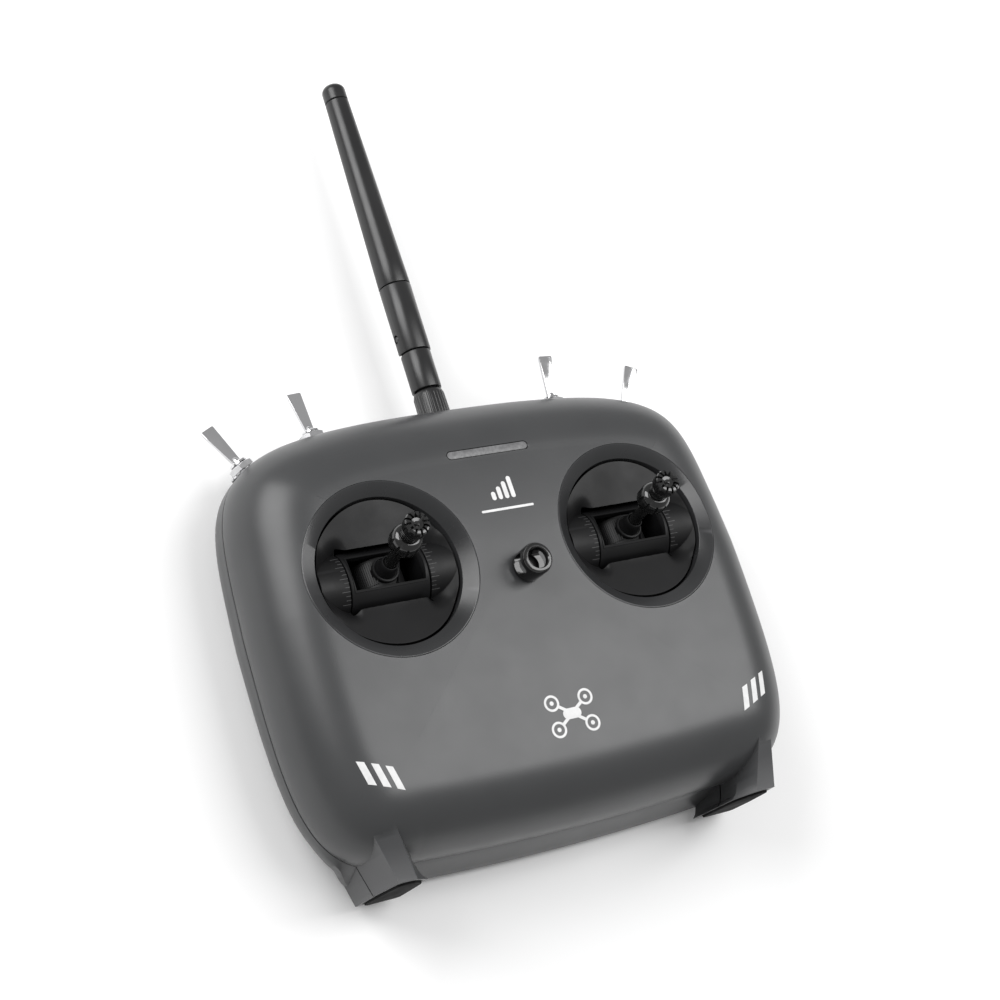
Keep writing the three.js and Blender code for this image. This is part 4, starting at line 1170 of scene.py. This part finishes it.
def makeAntenna():
    a = antenna
    at = (0, 0, a["axis"])
    thread = []
    for i in range(6):
        y = a["nutFrom"] + 0.6 + 0.9 * i
        thread += [(2.85, y), (3.1, y + 0.45)]
    connector = spun([(0, case["top"] - 9.5), (4.0, case["top"] - 9.5), (4.0, case["top"] - 2.5),
                      (3.1, case["top"] - 2.5), *thread, (3.0, a["nutTo"] - 3.2), (2.8, a["nutTo"] - 3),
                      (0, a["nutTo"] - 3)], 48, "y", at)
    connector = cut(connector, [rod(1.3, a["nutTo"] - 7, a["nutTo"], 24, "y", at)])
    finishPiece("antennaConnector", connector, "goldPlate", "root", ["antenna_connector"], 30)

    low, high, r = a["nutFrom"], a["nutTo"], a["nutRadius"]
    nut = spun([(3.4, low), (r - 0.25, low), (r, low + 0.25), (r - 0.12, high - 2.0), (r - 0.55, high - 0.6),
                (r - 1.0, high - 0.1), (r - 1.2, high), (3.4, high)], 120, "y", at, True)
    grooves = []
    for i in range(a["knurls"]):
        angle = math.tau * i / a["knurls"]
        depth = 0.42 if i % 5 == 0 else 0.27
        grooves.append(rod(depth, low - 1, high + 1, 10, "y", ((r + 0.06) * math.cos(angle), 0,
                                                               a["axis"] + (r + 0.06) * math.sin(angle))))
    finishPiece("antennaCouplingNut", cut(nut, grooves), "antennaBlack", "coupling_nut",
                ["antenna_coupling_nut"], 30)

    low, high, r = a["nutTo"] + 0.3, a["lowerTo"], a["lowerRadius"]
    lower = spun([(0, a["nutTo"] - 2.6), (3.1, a["nutTo"] - 2.6), (3.1, low), (r - 0.35, low),
                  (r - 0.08, low + 0.12), (r, low + 0.4), (r, high - 0.3), (r - 0.08, high - 0.08),
                  (r - 0.3, high), (0, high)], 96, "y", at)
    half, tr = a["tongueHalf"], a["tongueRadius"]
    hinge = (0, a["pinY"], a["axis"])
    tongue = join(rod(tr, -half, half, 48, "x", hinge),
                  [block((-half, half), (high - 1, a["pinY"]), (a["axis"] - tr, a["axis"] + tr))])
    lower = cut(join(lower, [tongue]), [rod(a["pinRadius"] + 0.05, -9, 9, 32, "x", hinge)])
    finishPiece("antennaLowerBarrel", lower, "antennaBlack", "antenna_swivel", ["antenna_lower_barrel"], 30)

    end, r = a["pinHalf"], a["pinRadius"]
    pin = spun([(0, -end), (r - 0.3, -end), (r, 0.3 - end), (r, end - 0.3), (r - 0.3, end), (0, end)],
               32, "x", hinge)
    finishPiece("antennaHingePin", pin, "antennaBlack", "antenna_swivel", ["antenna_hinge_pin"], 30)

    low, high, r = a["lowerTo"] + 0.3, a["upperTo"], a["radius"]
    upper = spun([(0, low), (r - 0.35, low), (r - 0.08, low + 0.1), (r, low + 0.35), (r, high - 0.25),
                  (r - 0.08, high - 0.06), (r - 0.3, high), (0, high)], 96, "y", at)
    slot = block((-half - 0.3, half + 0.3), (low - 1, a["pinY"] + 4.3), (a["axis"] - 9, a["axis"] + tr + 0.3))
    swing = a["pinY"] - low
    corner = cut(block((-9, 9), (low - 1, a["pinY"]), (a["axis"] - 9, a["axis"])),
                 [rod(swing, -10, 10, 64, "x", hinge)])
    upper = cut(upper, [slot, corner, rod(a["pinRadius"] + 0.3, -9, 9, 32, "x", hinge)])
    finishPiece("antennaUpperBarrel", upper, "antennaBlack", "antenna_fold", ["antenna_upper_barrel"], 30)

    low, high = a["upperTo"] + 0.3, a["mastTo"]
    taper = [(r + (a["tip"] - r) * i / 10, low + 0.3 + (high - 0.5 - low) * i / 10) for i in range(1, 11)]
    mast = spun([(0, low), (r - 0.3, low), (r - 0.08, low + 0.08), (r, low + 0.3), *taper,
                 (a["tip"] - 0.15, high), (0, high)], 96, "y", at)
    finishPiece("antennaMast", mast, "antennaBlack", "antenna_fold", ["antenna_mast"], 30)

    low, high, r = a["mastTo"] + 0.3, a["top"], a["tip"]
    dome = [math.radians(t) for t in range(0, 90, 9)]
    cap = spun([(0, low), (r - 0.2, low), (r, low + 0.2),
                *[(r * math.cos(t), high - 3 + 3 * math.sin(t)) for t in dome], (0, high)], 96, "y", at)
    finishPiece("antennaTipCap", cap, "antennaBlack", "antenna_fold", ["antenna_tip_cap"], 40)


makeAntenna()
print("antenna made")

# small pieces on the face: the light bar and the lanyard eye
eye = {"radius": 5.2, "bore": 3.4, "rise": 8.4, "slotHalf": 3.3, "slotRise": 4.8, "leg": 0.6}


def makeLightBar():
    low, high = boxOf("led_light_bar")
    half = led["halfWidth"] - 0.22
    bm = slab(pill(led["halfLength"], half, (0, led["y"])), low.z + 2, high.z)
    bevelEdges(bm, 0.18, 2, 50)
    flange = block((low.x, high.x), (led["y"] - 3, led["y"] + 3), (low.z, low.z + 2.2))
    return finishPiece("lightBar", join(bm, [flange]), "lightBar", "root", ["led_light_bar"], 30)


def makeLanyardEye():
    base = boxOf("lanyard_loop")[0].z + 8
    top = base + eye["rise"]
    r, bore = eye["radius"], eye["bore"]
    tube = spun([(bore, base), (r - 0.3, base), (r - 0.05, base + 0.15), (r, base + 0.5), (r, top - 1.3),
                 (r - 0.15, top - 0.7), (r - 0.5, top - 0.2), (r - 1.0, top), (bore + 0.3, top),
                 (bore, top - 0.35)], 96, "z", (0, loop["y"], 0), True)
    slotLow, slotHigh = base + 1.4, base + 1.4 + eye["slotRise"]
    slot = block((-9, 9), (loop["y"] - eye["slotHalf"], loop["y"] + eye["slotHalf"]), (slotLow, slotHigh))
    uprights = [e for e in slot.edges if abs(e.verts[0].co.x - e.verts[1].co.x) > 5]
    rounded(slot, uprights, 1.2, 5)
    legAt = (r + bore) / 2
    legs = [rod(eye["leg"], base - 8, base + 1, 20, "z", (0, loop["y"] + way * legAt, 0)) for way in (-1, 1)]
    body = join(cut(tube, [slot]), legs)
    bevelEdges(body, 0.16, 2, 50)
    return finishPiece("lanyardEye", body, "glossBlack", "root", ["lanyard_loop"], 30)


makeLightBar()
makeLanyardEye()

# back, bottom and top wall pieces: pads, screws, door, button and port
cover = {"ribs": 6, "ribPitch": 2.2, "ribHalf": 11.0, "ribFrom": -80.0}


def makePads():
    for side, name in ((-1, "left"), (1, "right")):
        low, high = boxOf(name + "_foot_pad")
        bm = padSolid(side, 0.0, low.y, high.y)
        bevelEdges(bm, 0.3, 2, 50)
        finishPiece(name + "FootPad", bm, "padRubber", "root", [name + "_foot_pad"], 40)


def makeScrews():
    for i, p in enumerate(screwPlaces):
        node = "shell_screw_%d" % (i + 1)
        low, high = boxOf(node)
        body = spun([(0, low.z), (2.2, low.z), (2.6, low.z + 0.35), (2.8, low.z + 0.9), (2.8, low.z + 2.0),
                     (2.6, low.z + 2.2), (1.5, low.z + 2.2), (1.5, high.z - 1), (1.1, high.z), (0, high.z)],
                    48, "z", (p.x, p.y, 0))
        turn = Matrix.Rotation(math.radians(37 * i), 4, "Z")
        spot = Matrix.Translation((p.x, p.y, 0)) @ turn
        cross = [movedBy(block((-1.6, 1.6), (-0.32, 0.32), (low.z - 1, low.z + 1.2)), spot),
                 movedBy(block((-0.32, 0.32), (-1.6, 1.6), (low.z - 1, low.z + 1.2)), spot)]
        finishPiece("shellScrew%d" % (i + 1), cut(body, cross), "screwSteel", "root", [node], 30)


def makeDoor():
    end = case["seam"] - case["seamGap"] / 2
    body = combined(rearBody(doorLow.z, end, 12),
                    [block((doorLow.x, doorHigh.x), (-200, doorHigh.y), (-1, doorHigh.z))], "INTERSECT")
    tools = []
    for i in range(cover["ribs"]):
        y = cover["ribFrom"] + cover["ribPitch"] * i
        tools.append(slab(pill(cover["ribHalf"] - 0.7 * i, 0.45, (0, y), 6), doorLow.z - 1, doorLow.z + 0.55))
    tip = cover["ribFrom"] - 4.4
    tools.append(slab([(-2.6, tip + 2.4), (2.6, tip + 2.4), (0, tip)], doorLow.z - 1, doorLow.z + 0.5))
    body = cut(body, tools)
    bevelEdges(body, 0.12, 1, 60)
    return finishPiece("batteryDoor", body, "caseGrey", "battery_door", ["battery_door"], 28)


def makeButton():
    low, high = boxOf("power_button")
    y = middleOf("power_button").y
    body = spun([(0, low.z + 0.35), (2.6, low.z + 0.2), (4.3, low.z), (4.8, low.z + 0.12),
                 (5.0, low.z + 0.5), (5.0, high.z - 0.9), (high.x, high.z - 0.9), (high.x, high.z),
                 (0, high.z)], 80, "z", (0, y, 0))
    ring = ringSlab(1.9, 1.5, 0, y, low.z - 1, low.z + 0.55, 48)
    notch = block((-0.55, 0.55), (y + 0.9, y + 2.4), (low.z - 1, low.z + 0.6))
    body = cut(body, [join(ring, [notch])])
    return finishPiece("powerButton", body, "mattBlack", "power_button", ["power_button"], 30)


def makePort():
    middle = (usbLow + usbHigh) / 2
    length = usbHigh.y - usbLow.y
    halfTall = (usbHigh.z - usbLow.z) / 2
    halfLong = (usbHigh.x - usbLow.x) / 2 - halfTall
    shell = slab(pill(halfLong, halfTall, (0, 0), 14), 0, length)
    room = slab(pill(halfLong, halfTall - 0.3, (0, 0), 14), 1.2, length + 1)
    body = join(cut(shell, [room]), [block((-3.1, 3.1), (-0.35, 0.35), (0.6, length - 1.4))])
    bevelEdges(body, 0.06, 1, 60)
    place = Matrix.Translation((middle.x, usbLow.y, middle.z)) @ Matrix.Rotation(math.radians(-90), 4, "X")
    return finishPiece("usbPort", movedBy(body, place), "chrome", "root", ["usb_port"], 30)


makePads()
makeScrews()
makeDoor()
makeButton()
makePort()
print("small pieces made")

# inside pieces keep the CAD solid and get their own finish
insides = {
    "boardGreen": ["main_board"],
    "screwSteel": ["rf_module"],
    "chrome": ["battery_contact_left", "battery_contact_right"],
    "mattBlack": ["buzzer"],
    "cellWrap": ["battery_cell_upper", "battery_cell_lower"],
}
for finish, nodes in insides.items():
    for node in nodes:
        mesh = frame["nodes"][node].data
        mesh.materials.clear()
        mesh.materials.append(material[finish])
